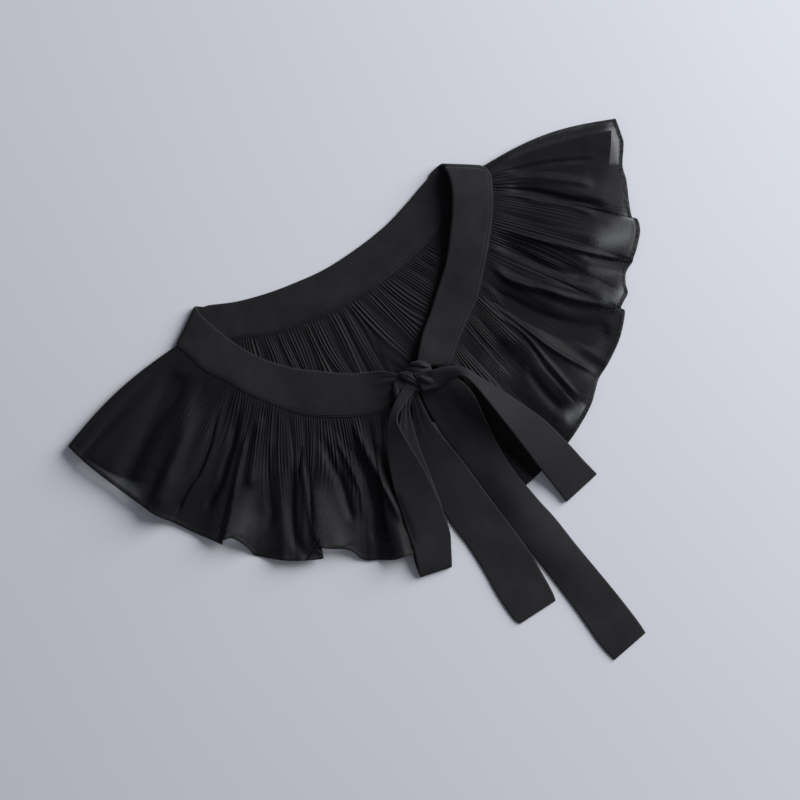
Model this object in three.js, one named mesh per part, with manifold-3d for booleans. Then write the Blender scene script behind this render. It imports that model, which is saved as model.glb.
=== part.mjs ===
// Tie-neck ruffle collar, laid flat: a folded neckband, one gathered chiffon ruffle sewn to its lower
// edge, and the band's two ends tied in a bow. Millimetres, +Z up, standing on z = 0.
// The collar is a collapsed ring. Its back half lies underneath, inside up, and the two front halves
// are folded over at the shoulders and lie on it. +X runs from shoulder to shoulder and +Y to the nape.
import * as THREE from 'three';
import { mergeVertices } from 'three/addons/utils/BufferGeometryUtils.js';
import Module from 'manifold-3d';

const { clamp, lerp, smoothstep } = THREE.MathUtils;

// ---------------------------------------------------------------- driving sizes, mm

// Where the tie point's own frame lies from the middle of the collar's footprint.
const TIE_POINT = { x: -4, y: 45.5 };
const SEAM_GAP = 0.3;
// The gathered edge starts a little further out, so that it stays clear where the seam curves.
const RUFFLE_GAP = 0.5;

const BAND = { thick: 2, edge: 1.2, edgeWidth: 0.12, foldRadius: 1.5, flap: 2.4, columns: 20 };
// The back half of the band starts at this share of its first table row, clear of the fold's flap.
const BACK_COLUMNS = { count: 26, clearOfFold: 0.75 };
const CHIFFON = { thick: 1.2, hem: 1.7, foldRadius: 1.6, hemFoldRadius: 1.4, flap: 2.4 };
const TIE = { thick: 1.3, stepsPerRow: 2, across: 4 };
// The back ruffle lies under its own gathers and is a little thinner.
const BACK_THINNER = 0.2;

// Gathers: how many on each stretch of the seam, and how high they stand at the seam and at the hem.
const GATHERS = { back: 62, left: 47, right: 39 };
const GATHER_HEIGHT = { seam: 0.5, hem: 0.15 };
const BACK_GATHER_HEIGHT = { seam: 0.9, hem: 0.35 };
// A gather's height is this share of the full one, give or take the swing, with two waves that differ.
const UNEVEN = { share: 0.82, swing: 0.18, firstWave: 1.7, secondWave: 0.37 };
const RUFFLE_ROWS = [0, 0.08, 0.3, 0.62, 0.96, 1];
const BAND_ROWS = [0, BAND.edgeWidth, 0.5, 1 - BAND.edgeWidth, 1];

// The front ruffle's lowest point over the back ruffle, and how far past the back hem it comes down.
const OVER_BACK = { height: 2.3, from: 5, to: 20 };

// Shares of the way from seam to hem: where the ruffle has come down from the band, and where its
// rolled hem starts.
const SETTLED = 0.3;
const HEM_START = 0.95;
// Shares of the seam: where a front half starts to rise to its shoulder fold, and between which the
// back half keeps clear of the two folds' flaps.
const NEAR_FOLD = 0.93;
const BACK_SPAN = [0.012, 0.988];
// How far round a fold its columns lie: 1 on the upper layer, 0 on the outermost line.
const FOLD_TURNS = [1, 0.5, 0, -0.5, -1];

// Cloth whose middle hangs less than the first of these over its rest lies flat on the ground.
const FLAT = { under: 0.05, over: 0.3 };
// Lengthwise creases of a tie near the knot, fading between two rows of its table.
const KNOT_CREASE = { height: 0.5, from: 0.5, to: 4 };
const SEARCH_STEPS = 30;

// ---------------------------------------------------------------- tables
// Plan places are X and Y in the tie point's frame. A row is one station along the piece.

/** Turns rows of numbers into objects with the named columns. */
function table(names, rows) {
  const columns = names.split(' ');
  return rows.map((row) => Object.fromEntries(columns.map((name, k) => [name, row[k]])));
}

// Back half of the band, from the left shoulder fold to the right one: neck edge and seam edge.
const BACK_BAND = table('neckX neckY seamX seamY', [
  [-82, 112, -104, 97],
  [-72, 108, -86, 89.5],
  [-58, 102.5, -68, 81.5],
  [-40, 98, -46, 73.5],
  [-20, 95, -23, 70],
  [0, 93.5, 0, 68.5],
  [22, 95, 24, 69.5],
  [44, 98.5, 48, 73],
  [62, 104, 70, 79],
  [78, 110, 92, 89],
  [93, 114.5, 115, 101],
]);

// Front halves, from the knot to the shoulder fold, with the height of each edge's middle.
const LEFT_BAND = table('neckX neckY neckZ seamX seamY seamZ', [
  [8, 13, 9, 6, 5, 5.8],
  [0, 20.5, 8, -3, 1.5, 5],
  [-8, 24.5, 6.6, -12, -0.5, 4.5],
  [-20, 30, 5.4, -27, 3.5, 4.1],
  [-34, 39.5, 4.8, -44, 12, 4],
  [-46, 48, 4.5, -58, 22, 4],
  [-57, 58.5, 4.2, -69.5, 35, 4],
  [-66, 70, 4, -80, 48.5, 3.9],
  [-73, 83, 3.9, -89, 63, 3.8],
  [-78, 95, 3.8, -97, 75.5, 3.8],
  [-81.4, 105, 3.8, -101, 88, 3.8],
  [-82, 112, 3.8, -104, 97, 3.8],
]);
const RIGHT_BAND = table('neckX neckY neckZ seamX seamY seamZ', [
  [20, 15, 9, 27, 9, 6.2],
  [26, 22.5, 8, 37.5, 5, 5.2],
  [33, 30, 6.4, 46, 11.5, 4.6],
  [43, 38.5, 5.2, 58, 21, 4.2],
  [53.5, 48.5, 4.6, 73, 32.5, 4],
  [66, 60.5, 4.2, 87, 48, 3.9],
  [77.5, 75.5, 4, 99, 62.5, 3.8],
  [86, 88.5, 3.8, 108, 75.5, 3.8],
  [91.5, 99, 3.8, 114.5, 88, 3.8],
  [93.6, 108, 3.8, 117, 95, 3.8],
  [93, 114.5, 3.8, 115, 101, 3.8],
]);

// Folds of the ruffle. at: how far along the band's seam edge, 0 to 1; hemX, hemY: where the fold
// meets the hem; bow: how far its middle swings to the left of its run from seam to hem; crest: how
// high its middle stands, and lift: how high its hem stands, over the cloth's resting height.
const LEFT_FOLDS = table('at hemX hemY bow crest lift', [
  [0.085, -26, -90, 0, 0, 0],
  [0.12, -40, -87, 1, 0.2, 0],
  [0.165, -50, -83.5, 2, 1.6, 1.5],
  [0.215, -60, -79.5, 3, 0.2, 0],
  [0.265, -68.5, -74, 3, 1.4, 1],
  [0.3, -74, -66, 3, 0.6, 3],
  [0.34, -80.5, -60, 3, 2, 6.5],
  [0.375, -86, -56, 3, 1.2, 9],
  [0.41, -91, -60.5, 3, 0.2, 2.5],
  [0.45, -100, -58.5, 2, 0, 0],
  [0.495, -111, -51, 1, 1.5, 0],
  [0.54, -123, -41, 0, 0.4, 2],
  [0.585, -129.5, -31, 0, 1.6, 6],
  [0.625, -134.5, -24, 0, 0.8, 9],
  [0.655, -139.5, -23.5, 0, 1.8, 5],
  [0.7, -150, -11, 0, 0.4, 3],
  [0.75, -160, 3, 0, 2.2, 0.4],
  [0.79, -167, 13, -1, 0, 2],
  [0.835, -173, 26, -2, 2, 0.8],
  [0.88, -184, 50, -3, 0.8, 0.2],
  [0.945, -190, 66, -4, 0.6, 0],
  [1, -193, 75.5, -4, 0, 0],
]);
const RIGHT_FOLDS = table('at hemX hemY bow crest lift', [
  [0.1, 34, -84.5, -4, 0, 0],
  [0.135, 51, -82, -1, 0.2, 0],
  [0.18, 66, -78.5, 0, 0.8, 0.8],
  [0.23, 77, -74.5, -1, 0, 0],
  [0.285, 89, -68.5, -2, 1, 0.5],
  [0.34, 98, -62.5, -2, 1.6, 2],
  [0.39, 106, -56, -2, 0.4, 4],
  [0.445, 114, -48.5, -2, 1.8, 1],
  [0.495, 124, -43, -2, 0, 0],
  [0.54, 134, -36, -2, 1.8, 1],
  [0.58, 141, -30, -1, 0.3, 2],
  [0.62, 149, -20.5, 0, 1.2, 0],
  [0.66, 151, -14.5, 0, 1.6, 5.5],
  [0.695, 155, -11, 0, 0.6, 3],
  [0.735, 160.5, 0, 1, 2, 1],
  [0.77, 167, 4, 1, 0.4, 3.5],
  [0.81, 174, 11, 1, 2.2, 1],
  [0.85, 182, 21, 2, 0.4, 0.4],
  [0.885, 182.5, 27, 3, 1.2, 3.5],
  [0.92, 185, 40, 4, 0, 1],
  [0.95, 191, 57, 4, 1.2, 0],
  [0.98, 198.5, 72, 5, 0.2, 0],
  [1, 201, 87, 5.5, 0, 0],
]);
const BACK_FOLDS = table('at hemX hemY bow', [
  [0, -193, 75.5, -4],
  [0.035, -187, 62, -3],
  [0.08, -175, 44, -2],
  [0.135, -156, 26, 0],
  [0.2, -130, 12, 0],
  [0.285, -95, -2, 0],
  [0.38, -48, -15, 2],
  [0.49, 4, -22, 2],
  [0.595, 52, -17, 3],
  [0.69, 95, -5, 3],
  [0.78, 130, 10, 2],
  [0.855, 157, 30, 2],
  [0.91, 177, 53, 3],
  [0.96, 191, 74, 4],
  [1, 201, 87, 5.5],
]);

// Tails: left and right edge with the heights of their middle, from inside the knot to the end.
const MIDDLE_TAIL = table('leftX leftY leftZ rightX rightY rightZ', [
  [6, 0, 5.5, 12, 0, 6],
  [3, -10, 4.4, 10.8, -10, 5],
  [-2, -20, 3.6, 10.4, -20, 4.2],
  [-6, -33, 3, 11.4, -33, 3.2],
  [-9, -48, 1.2, 13.9, -48, 2.2],
  [-10, -63, 0.65, 15.9, -63, 1.4],
  [-10, -80, 0.65, 17.4, -79, 0.65],
  [-7.5, -100, 0.65, 19.9, -100, 0.65],
  [-6.5, -118, 0.65, 22.8, -118, 0.65],
  [-6.5, -135, 0.65, 24.4, -136, 0.65],
  [-5, -152, 0.65, 24.5, -150, 0.65],
  [-2.5, -157.5, 0.65, 23.5, -155.8, 0.65],
]);
const LONG_TAIL = table('leftX leftY leftZ rightX rightY rightZ', [
  [13.5, 0, 5, 24, -2, 5],
  [11.9, -10, 4.8, 29, -10, 4.9],
  [11.9, -20, 4.2, 33, -20, 4.9],
  [12.8, -32, 3.6, 35.5, -31, 4.6],
  [15.2, -48, 2.4, 37, -46, 3.8],
  [17, -62, 1.4, 38.5, -60, 3.4],
  [18.8, -78, 0.65, 41, -77, 4],
  [19.8, -87, 0.65, 43, -87, 3.4],
  [21.2, -97, 0.65, 45.2, -98, 1],
  [23, -111, 0.65, 48.3, -111, 0.65],
  [26, -130, 0.65, 51.5, -131, 0.65],
  [29, -149, 0.65, 55, -150, 0.65],
  [31.8, -170, 0.65, 58.8, -171, 0.65],
  [34.2, -193, 0.65, 61.8, -191, 0.65],
  [37.5, -206, 0.65, 62.5, -200.5, 0.65],
]);

// Loops: outer and inner edge of the upper layer, height of the lower layer's middle, room between
// the layers' middles, and how far the lower layer lies to the right of the upper one.
const LEFT_LOOP = table('outerX outerY innerX innerY low room slip', [
  [4, 8, 5, -2, 8.2, 4.4, 0],
  [-5, 0, -2.5, -4.5, 7.9, 4.6, 3],
  [-13, -8, -7, -9.5, 7.1, 4.6, 6.5],
  [-18.5, -16, -8.2, -17, 6.5, 4.2, 9],
  [-25, -30, -8, -31, 5.8, 3.4, 8.5],
  [-30.5, -48, -7.6, -49, 5.2, 2.8, 4.5],
  [-34.5, -68, -9.3, -68, 4.6, 2.4, 1.2],
  [-37.5, -84, -12.4, -85, 4, 2.1, 0.4],
  [-40, -93, -16.8, -95, 3, 1.9, 0],
  [-42.5, -101.5, -22, -105.5, 0.65, 1.7, 0],
]);
const RIGHT_LOOP = table('outerX outerY innerX innerY low room slip', [
  [20, 8, 19, -5, 8, 5.2, 0],
  [27.5, 6.4, 28, -6.8, 7.6, 6.4, 0],
  [36, 3.2, 35.5, -7.6, 6.6, 8.4, 0],
  [44, -2, 41.2, -9, 6.4, 8.6, 0],
  [50, -12, 44, -15, 6.3, 7.4, 0],
  [56, -22, 46, -24, 6.2, 5.8, 0],
  [64, -38, 48.5, -38.5, 6, 4, 0],
  [72, -55, 51.2, -55, 5.4, 3, 0],
  [77.8, -75, 54.2, -75, 4, 2.4, 0],
  [81, -88, 57, -92, 1.9, 2, 0],
  [84, -99, 59, -105, 0.65, 1.7, 0],
]);
const END_FOLD_RADIUS = 0.85;

// Strands of the knot: ends and middle of each one's centre line, and its radius.
const KNOT_STRANDS = table('fromX fromY fromZ midX midY midZ toX toY toZ radius', [
  [3, 8, 8, 13, 4, 8.6, 25, 0, 8, 5.4],
  [9, 13, 7.5, 12, 5, 12.4, 9, -5, 7.5, 4.4],
  [11, 9, 11, 19, 1, 13.6, 27, -6.5, 9.6, 2.9],
  [11, 11.5, 9, 18, 14, 11.4, 25.5, 10.5, 8.8, 3.3],
]);
const STRAND = { sides: 10, lobes: 5, lobeDepth: 0.08, steps: 7 };

// ---------------------------------------------------------------- interpolation

/** All columns of a table at a place from 0 to rows.length - 1, smoothly between its rows. */
function rowAt(rows, place) {
  const last = rows.length - 1;
  const k = clamp(Math.floor(place), 0, last - 1);
  const [before, from, to, after] = [k - 1, k, k + 1, k + 2].map((n) => rows[clamp(n, 0, last)]);
  const t = place - k;
  const value = (name) => {
    const startSlope = (to[name] - before[name]) / 2;
    const endSlope = (after[name] - from[name]) / 2;
    const rise = to[name] - from[name];
    return from[name] + t * (startSlope + t * (3 * rise - 2 * startSlope - endSlope
      + t * (startSlope + endSlope - 2 * rise)));
  };
  return Object.fromEntries(Object.keys(from).map((name) => [name, value(name)]));
}

/** The place in the table where its rising column "at" reaches a value. */
function placeOf(rows, value) {
  let [low, high] = [0, rows.length - 1];
  for (let n = 0; n < SEARCH_STEPS; n += 1) {
    const middle = (low + high) / 2;
    if (rowAt(rows, middle).at < value) low = middle;
    else high = middle;
  }
  return (low + high) / 2;
}

/** The band's seam edge as a curve with an even parameter along its length. */
function seamCurve(rows) {
  const points = rows.map((row) => new THREE.Vector3(row.seamX, row.seamY, row.seamZ));
  return new THREE.CatmullRomCurve3(points, false, 'centripetal');
}

// ---------------------------------------------------------------- shoulder and end folds

/** A fold line in plan: its two ends, its direction and the side on which both layers lie. */
function foldLine(start, end, inside) {
  const along = end.clone().sub(start).setZ(0).normalize();
  const inward = new THREE.Vector3(-along.y, along.x, 0);
  if (inward.dot(inside.clone().sub(start)) < 0) inward.negate();
  return { start, end, along, inward };
}

/**
 * One column of cloth in a fold of radius r. travel is the distance along the cloth from the
 * outermost line: positive on the upper layer, negative on the lower one. slant is the shift along
 * the fold line for each millimetre of travel, for a strip that meets the line at an angle.
 */
function foldPoint(line, share, travel, radius, lowest, slant = 0, bulge = 0) {
  const bend = clamp(travel / radius, -Math.PI / 2, Math.PI / 2);
  const straight = Math.abs(travel) - Math.abs(bend * radius);
  return line.start.clone().lerp(line.end, share)
    .addScaledVector(line.inward, radius * (1 - Math.cos(bend)) + straight - bulge)
    .addScaledVector(line.along, slant * travel)
    .setZ(lowest + radius * (1 + Math.sin(bend)));
}

/** Distances of cloth at which a fold has its columns, from the upper layer round to the lower. */
function foldTravels(radius, flap) {
  const half = radius * Math.PI / 2;
  return [half, half / 2, 0, -half / 2, -half, -half - flap];
}

// ---------------------------------------------------------------- walls

/** The direction in which the sheet faces at a grid point. */
function facing(grid, i, j) {
  const at = (a, b) => grid[clamp(a, 0, grid.length - 1)][clamp(b, 0, grid[0].length - 1)].point;
  const alongPiece = at(i + 1, j).clone().sub(at(i - 1, j));
  const acrossPiece = at(i, j + 1).clone().sub(at(i, j - 1));
  return alongPiece.cross(acrossPiece).normalize();
}

/** A geometry from vertices and triangles, turned so that its faces point out. */
function closedGeometry(vertices, triangles) {
  const [a, b, c] = [0, 1, 2].map(() => new THREE.Vector3());
  let volume = 0;
  for (const [p, q, r] of triangles) {
    volume += a.copy(vertices[p]).dot(b.copy(vertices[q]).cross(c.copy(vertices[r])));
  }
  const turned = volume < 0 ? triangles.map(([p, q, r]) => [p, r, q]) : triangles;
  const geometry = new THREE.BufferGeometry();
  geometry.setAttribute('position', new THREE.Float32BufferAttribute(vertices.flatMap((v) => v.toArray()), 3));
  geometry.setIndex(turned.flat());
  return geometry;
}

/**
 * A wall of cloth round a grid of points, grid[column][row]. Each point has its place in the middle
 * of the cloth, the thickness there, the gather that is added to both faces, and rest, 1 where the
 * lower face lies flat on the ground.
 */
function clothWall(grid, up = 1) {
  const vertices = [];
  const triangles = [];
  const [columns, rows] = [grid.length, grid[0].length];
  const index = (side, i, j) => (side * columns + i) * rows + j;
  for (const side of [1, -1]) {
    for (let i = 0; i < columns; i += 1) {
      for (let j = 0; j < rows; j += 1) {
        const { point, thick, gather = 0, rest = 0 } = grid[i][j];
        const out = facing(grid, i, j).multiplyScalar(up);
        const face = point.clone().addScaledVector(out, side * thick / 2 + gather);
        if (side * out.z < 0) face.setZ(lerp(face.z, 0, rest));
        vertices.push(face.setZ(Math.max(face.z, 0)));
      }
    }
  }
  const quad = (a, b, c, d) => triangles.push([a, b, c], [a, c, d]);
  for (let i = 0; i + 1 < columns; i += 1) {
    for (let j = 0; j + 1 < rows; j += 1) {
      quad(index(0, i, j), index(0, i + 1, j), index(0, i + 1, j + 1), index(0, i, j + 1));
      quad(index(1, i, j), index(1, i, j + 1), index(1, i + 1, j + 1), index(1, i + 1, j));
    }
    quad(index(0, i, 0), index(1, i, 0), index(1, i + 1, 0), index(0, i + 1, 0));
    quad(index(0, i, rows - 1), index(0, i + 1, rows - 1), index(1, i + 1, rows - 1), index(1, i, rows - 1));
  }
  for (let j = 0; j + 1 < rows; j += 1) {
    quad(index(0, 0, j), index(0, 0, j + 1), index(1, 0, j + 1), index(1, 0, j));
    quad(index(0, columns - 1, j), index(1, columns - 1, j), index(1, columns - 1, j + 1),
      index(0, columns - 1, j + 1));
  }
  return closedGeometry(vertices, triangles);
}

// ---------------------------------------------------------------- neckband

/** Thickness of the band across its width: thin at the two pressed edges. */
function bandThickness(share) {
  const fromEdge = Math.min(share, 1 - share) / BAND.edgeWidth;
  return lerp(BAND.edge, BAND.thick, clamp(fromEdge, 0, 1));
}

function bandColumn(neck, seam, rest = 0) {
  return BAND_ROWS.map((share) => (
    { point: neck.clone().lerp(seam, share), thick: bandThickness(share), rest }));
}

/** The shoulder fold of the band, and how each of its edges runs along it. */
function shoulderOf(rows) {
  const [last, before] = [rows.at(-1), rows.at(-2)];
  const neck = new THREE.Vector3(last.neckX, last.neckY, 0);
  const seam = new THREE.Vector3(last.seamX, last.seamY, 0);
  const inside = new THREE.Vector3(before.neckX + before.seamX, before.neckY + before.seamY, 0).divideScalar(2);
  const line = foldLine(neck, seam, inside);
  const run = inside.sub(neck.clone().lerp(seam, 0.5));
  return { ...line, slant: run.dot(line.along) / run.dot(line.inward) };
}

/** A front half of the band, round its shoulder fold and a little way under it. */
function frontBand(rows, up) {
  const fold = shoulderOf(rows);
  const lowest = BAND.thick / 2;
  const grid = [];
  const steps = BAND.columns;
  for (let i = 0; i < steps; i += 1) {
    const row = rowAt(rows, (i / steps) * (rows.length - 1));
    grid.push(bandColumn(new THREE.Vector3(row.neckX, row.neckY, row.neckZ),
      new THREE.Vector3(row.seamX, row.seamY, row.seamZ)));
  }
  for (const travel of foldTravels(BAND.foldRadius, BAND.flap)) {
    const [neck, seam] = [0, 1].map((share) => (
      foldPoint(fold, share, travel, BAND.foldRadius, lowest, fold.slant)));
    grid.push(bandColumn(neck, seam, travel < -BAND.foldRadius ? 1 : 0));
  }
  return clothWall(grid, up);
}

/** Neck and seam edge of the back half of the band, column by column between the two folds' flaps. */
function backBandEdges() {
  const under = BAND.foldRadius * Math.PI / 2 + BAND.flap + SEAM_GAP;
  const [left, right] = [LEFT_BAND, RIGHT_BAND].map((rows) => {
    const fold = shoulderOf(rows);
    return [0, 1].map((share) => (
      foldPoint(fold, share, -under, BAND.foldRadius, BAND.thick / 2, fold.slant)));
  });
  const last = BACK_BAND.length - 1;
  const columns = Array.from({ length: BACK_COLUMNS.count + 1 }, (_, i) => {
    const place = lerp(BACK_COLUMNS.clearOfFold, last - BACK_COLUMNS.clearOfFold, i / BACK_COLUMNS.count);
    const row = rowAt(BACK_BAND, place);
    return [new THREE.Vector3(row.neckX, row.neckY, BAND.thick / 2),
      new THREE.Vector3(row.seamX, row.seamY, BAND.thick / 2)];
  });
  return [left, ...columns, right];
}

/** The back half of the band, flat on the ground. */
function backBand() {
  return clothWall(backBandEdges().map(([neck, seam]) => bandColumn(neck, seam, 1)), -1);
}

// ---------------------------------------------------------------- ruffle

/** Distance from the back ruffle's hem in plan, positive outside it. */
function pastBackHem(point) {
  let nearest = Infinity;
  let signed = 0;
  for (let k = 0; k + 1 < BACK_FOLDS.length; k += 1) {
    const start = new THREE.Vector3(BACK_FOLDS[k].hemX, BACK_FOLDS[k].hemY, 0);
    const run = new THREE.Vector3(BACK_FOLDS[k + 1].hemX, BACK_FOLDS[k + 1].hemY, 0).sub(start);
    const away = point.clone().setZ(0).sub(start);
    const share = clamp(away.dot(run) / run.lengthSq(), 0, 1);
    const distance = away.clone().addScaledVector(run, -share).length();
    if (distance < nearest) {
      nearest = distance;
      signed = distance * Math.sign(run.y * away.x - run.x * away.y);
    }
  }
  return signed;
}

/** A point of a fold line of the ruffle in plan, share 0 at the seam and 1 at the hem. */
function alongFold(seam, row, share) {
  const hem = new THREE.Vector3(row.hemX, row.hemY, seam.z);
  const left = new THREE.Vector3(seam.y - hem.y, hem.x - seam.x, 0).normalize();
  const from = seam.clone().addScaledVector(hem.clone().sub(seam).normalize(), RUFFLE_GAP);
  return from.lerp(hem, share).addScaledVector(left, row.bow * Math.sin(Math.PI * share));
}

/** How high a gather stands at a share of the way to the hem. No two are quite alike. */
function gatherHeight(sizes, share, column) {
  const swing = Math.sin(column * UNEVEN.firstWave) * Math.cos(column * UNEVEN.secondWave);
  return lerp(sizes.seam, sizes.hem, Math.sqrt(share)) * (UNEVEN.share + UNEVEN.swing * swing);
}

function hemThickness(share) {
  return share > HEM_START ? CHIFFON.hem : CHIFFON.thick;
}

/** The ruffle's shoulder fold: the band's own fold at the seam, and its own line out to the hem. */
function ruffleShoulder(band, folds) {
  const bandFold = shoulderOf(band);
  const [last, before] = [folds.at(-1), folds.at(-3)];
  const hem = new THREE.Vector3(last.hemX, last.hemY, 0);
  const inside = new THREE.Vector3(before.hemX, before.hemY, 0);
  const line = foldLine(bandFold.end, hem, inside);
  const left = new THREE.Vector3(-line.along.y, line.along.x, 0);
  return { bandFold, line, left, bow: last.bow };
}

/**
 * One column of the ruffle in its shoulder fold, from seam to hem. turn is 1 on the upper layer, 0 on
 * the outermost line and -1 underneath, and flap is how far the column lies beyond the fold there.
 */
function shoulderColumn({ bandFold, line, left, bow }, turn, flap) {
  const round = turn * Math.PI / 2;
  const seam = foldPoint(bandFold, 1, round * BAND.foldRadius - flap, BAND.foldRadius, 0, bandFold.slant)
    .addScaledVector(line.along, RUFFLE_GAP);
  const hem = foldPoint(line, 1, round * CHIFFON.hemFoldRadius - flap, CHIFFON.hemFoldRadius, 0);
  return RUFFLE_ROWS.map((share) => {
    const radius = lerp(CHIFFON.foldRadius, CHIFFON.hemFoldRadius, share);
    const point = seam.clone().lerp(hem, share)
      .addScaledVector(left, bow * Math.sin(Math.PI * share))
      .setZ(CHIFFON.thick / 2 + radius * (1 + Math.sin(round)));
    return { point, thick: hemThickness(share), rest: flap > 0 ? 1 : 0 };
  });
}

/** A front half of the ruffle, from its edge at the knot to the shoulder and a little way under. */
function frontRuffle(band, folds, gathers, up) {
  const seam = seamCurve(band);
  const fold = ruffleShoulder(band, folds);
  const start = folds[0].at;
  const columns = 2 * gathers;
  const grid = [];
  for (let i = 0; i < columns; i += 1) {
    const at = lerp(start, 1, i / columns);
    const row = rowAt(folds, placeOf(folds, at));
    const seamPoint = seam.getPointAt(at);
    const nearFold = smoothstep(at, NEAR_FOLD, 1);
    grid.push(RUFFLE_ROWS.map((share) => {
      const point = alongFold(seamPoint, row, share);
      const gather = gatherHeight(GATHER_HEIGHT, share, i);
      const over = 1 - smoothstep(pastBackHem(point), OVER_BACK.from, OVER_BACK.to);
      const stands = Math.max(0, row.crest) * Math.sin(Math.PI * share) + Math.max(0, row.lift) * share ** 2;
      const resting = OVER_BACK.height * over + CHIFFON.thick / 2 + gather + stands;
      const folded = CHIFFON.thick / 2 + 2 * lerp(CHIFFON.foldRadius, CHIFFON.hemFoldRadius, share);
      const settled = lerp(resting, folded, nearFold);
      point.setZ(lerp(seamPoint.z, settled, smoothstep(share, 0, SETTLED)));
      return {
        point,
        thick: hemThickness(share),
        gather: gather * (i % 2 ? 1 : -1) * (i === 0 ? 0 : 1 - nearFold),
        rest: 1 - smoothstep(OVER_BACK.height * over + stands, 0, FLAT.over),
      };
    }));
  }
  for (const turn of FOLD_TURNS) grid.push(shoulderColumn(fold, turn, 0));
  grid.push(shoulderColumn(fold, -1, CHIFFON.flap));
  return clothWall(grid, up);
}

/** The back half of the ruffle, flat on the ground with its gathers standing up. */
function backRuffle() {
  const seam = new THREE.CatmullRomCurve3(backBandEdges().map(([, edge]) => edge), false, 'centripetal');
  const ends = [[LEFT_BAND, LEFT_FOLDS], [RIGHT_BAND, RIGHT_FOLDS]].map(([band, folds]) => (
    shoulderColumn(ruffleShoulder(band, folds), -1, CHIFFON.flap + RUFFLE_GAP)));
  const columns = 2 * GATHERS.back;
  const grid = [ends[0]];
  for (let i = 0; i <= columns; i += 1) {
    const at = lerp(...BACK_SPAN, i / columns);
    const row = rowAt(BACK_FOLDS, placeOf(BACK_FOLDS, at));
    const seamPoint = seam.getPointAt(at);
    grid.push(RUFFLE_ROWS.map((share) => {
      const gather = gatherHeight(BACK_GATHER_HEIGHT, share, i) * (i % 2);
      const thick = hemThickness(share) - BACK_THINNER;
      const point = alongFold(seamPoint, row, share).setZ(thick / 2);
      return { point, thick, gather, rest: 1 };
    }));
  }
  grid.push(ends[1]);
  return clothWall(grid, -1);
}

// ---------------------------------------------------------------- ties

/** One column across a tie, creased lengthwise where the knot bunches it. */
function tieColumn(left, right, crease, rest) {
  return Array.from({ length: TIE.across + 1 }, (_, j) => {
    const edge = j === 0 || j === TIE.across;
    const gather = edge ? 0 : crease * (j % 2 ? 1 : -1);
    return { point: left.clone().lerp(right, j / TIE.across), thick: TIE.thick, gather, rest };
  });
}

/** Depth of the lengthwise creases at a place along a tie: they fade out away from the knot. */
function creaseAt(place) {
  return KNOT_CREASE.height * (1 - smoothstep(place, KNOT_CREASE.from, KNOT_CREASE.to));
}

function tail(rows) {
  const steps = TIE.stepsPerRow * (rows.length - 1);
  const grid = Array.from({ length: steps + 1 }, (_, i) => {
    const place = i / TIE.stepsPerRow;
    const row = rowAt(rows, place);
    const left = new THREE.Vector3(row.leftX, row.leftY, row.leftZ);
    const right = new THREE.Vector3(row.rightX, row.rightY, row.rightZ);
    const over = Math.max(row.leftZ, row.rightZ) - TIE.thick / 2;
    const rest = 1 - smoothstep(over, FLAT.under, FLAT.over);
    return tieColumn(left, right, creaseAt(place), rest);
  });
  return clothWall(grid, 1);
}

/** A bow loop: out from the knot on the lower layer, round the end fold and back on the upper one. */
function loop(rows, up) {
  const last = rows.length - 1;
  const steps = TIE.stepsPerRow * last;
  const layer = (place, upper) => {
    const row = rowAt(rows, place);
    const [slip, z] = upper ? [0, row.low + row.room] : [row.slip, row.low];
    return tieColumn(new THREE.Vector3(row.outerX + slip, row.outerY, z),
      new THREE.Vector3(row.innerX + slip, row.innerY, z), creaseAt(place), 0);
  };
  const end = rows[last];
  const outer = new THREE.Vector3(end.outerX, end.outerY, 0);
  const inner = new THREE.Vector3(end.innerX, end.innerY, 0);
  const fold = foldLine(outer, inner, new THREE.Vector3(rows[last - 1].outerX, rows[last - 1].outerY, 0));
  const travels = foldTravels(END_FOLD_RADIUS, 0).slice(0, -1).reverse();
  const round = travels.map((travel) => {
    const [left, right] = [0, 1].map((share) => (
      foldPoint(fold, share, travel, END_FOLD_RADIUS, TIE.thick / 2)));
    return tieColumn(left, right, 0, travel < -END_FOLD_RADIUS ? 1 : 0);
  });
  const lower = Array.from({ length: steps }, (_, i) => layer(i / TIE.stepsPerRow, false));
  const upper = Array.from({ length: steps }, (_, i) => layer(i / TIE.stepsPerRow, true)).reverse();
  return clothWall([...lower, ...round, ...upper], up);
}

/** One lobed strand of the knot along its centre line, wider by grow all round. */
function strand(row, grow) {
  const points = [
    new THREE.Vector3(row.fromX, row.fromY, row.fromZ),
    new THREE.Vector3(row.midX, row.midY, row.midZ),
    new THREE.Vector3(row.toX, row.toY, row.toZ),
  ];
  const outline = Array.from({ length: STRAND.sides }, (_, k) => {
    const angle = (2 * Math.PI * k) / STRAND.sides;
    const radius = row.radius * (1 + STRAND.lobeDepth * Math.cos(STRAND.lobes * angle)) + grow;
    return new THREE.Vector2(radius * Math.cos(angle), radius * Math.sin(angle));
  });
  const path = new THREE.CatmullRomCurve3(points);
  return new THREE.ExtrudeGeometry(new THREE.Shape(outline), { steps: STRAND.steps, extrudePath: path });
}

// ---------------------------------------------------------------- joining and cutting

const wasm = await Module();
wasm.setup();

/** A geometry as a manifold solid, from its positions alone. */
function toSolid(geometry) {
  const bare = geometry.clone();
  bare.deleteAttribute('normal');
  bare.deleteAttribute('uv');
  const merged = mergeVertices(bare, 1e-4);
  return new wasm.Manifold(new wasm.Mesh({
    numProp: 3,
    vertProperties: new Float32Array(merged.attributes.position.array),
    triVerts: new Uint32Array(merged.index.array),
  }));
}

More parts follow.
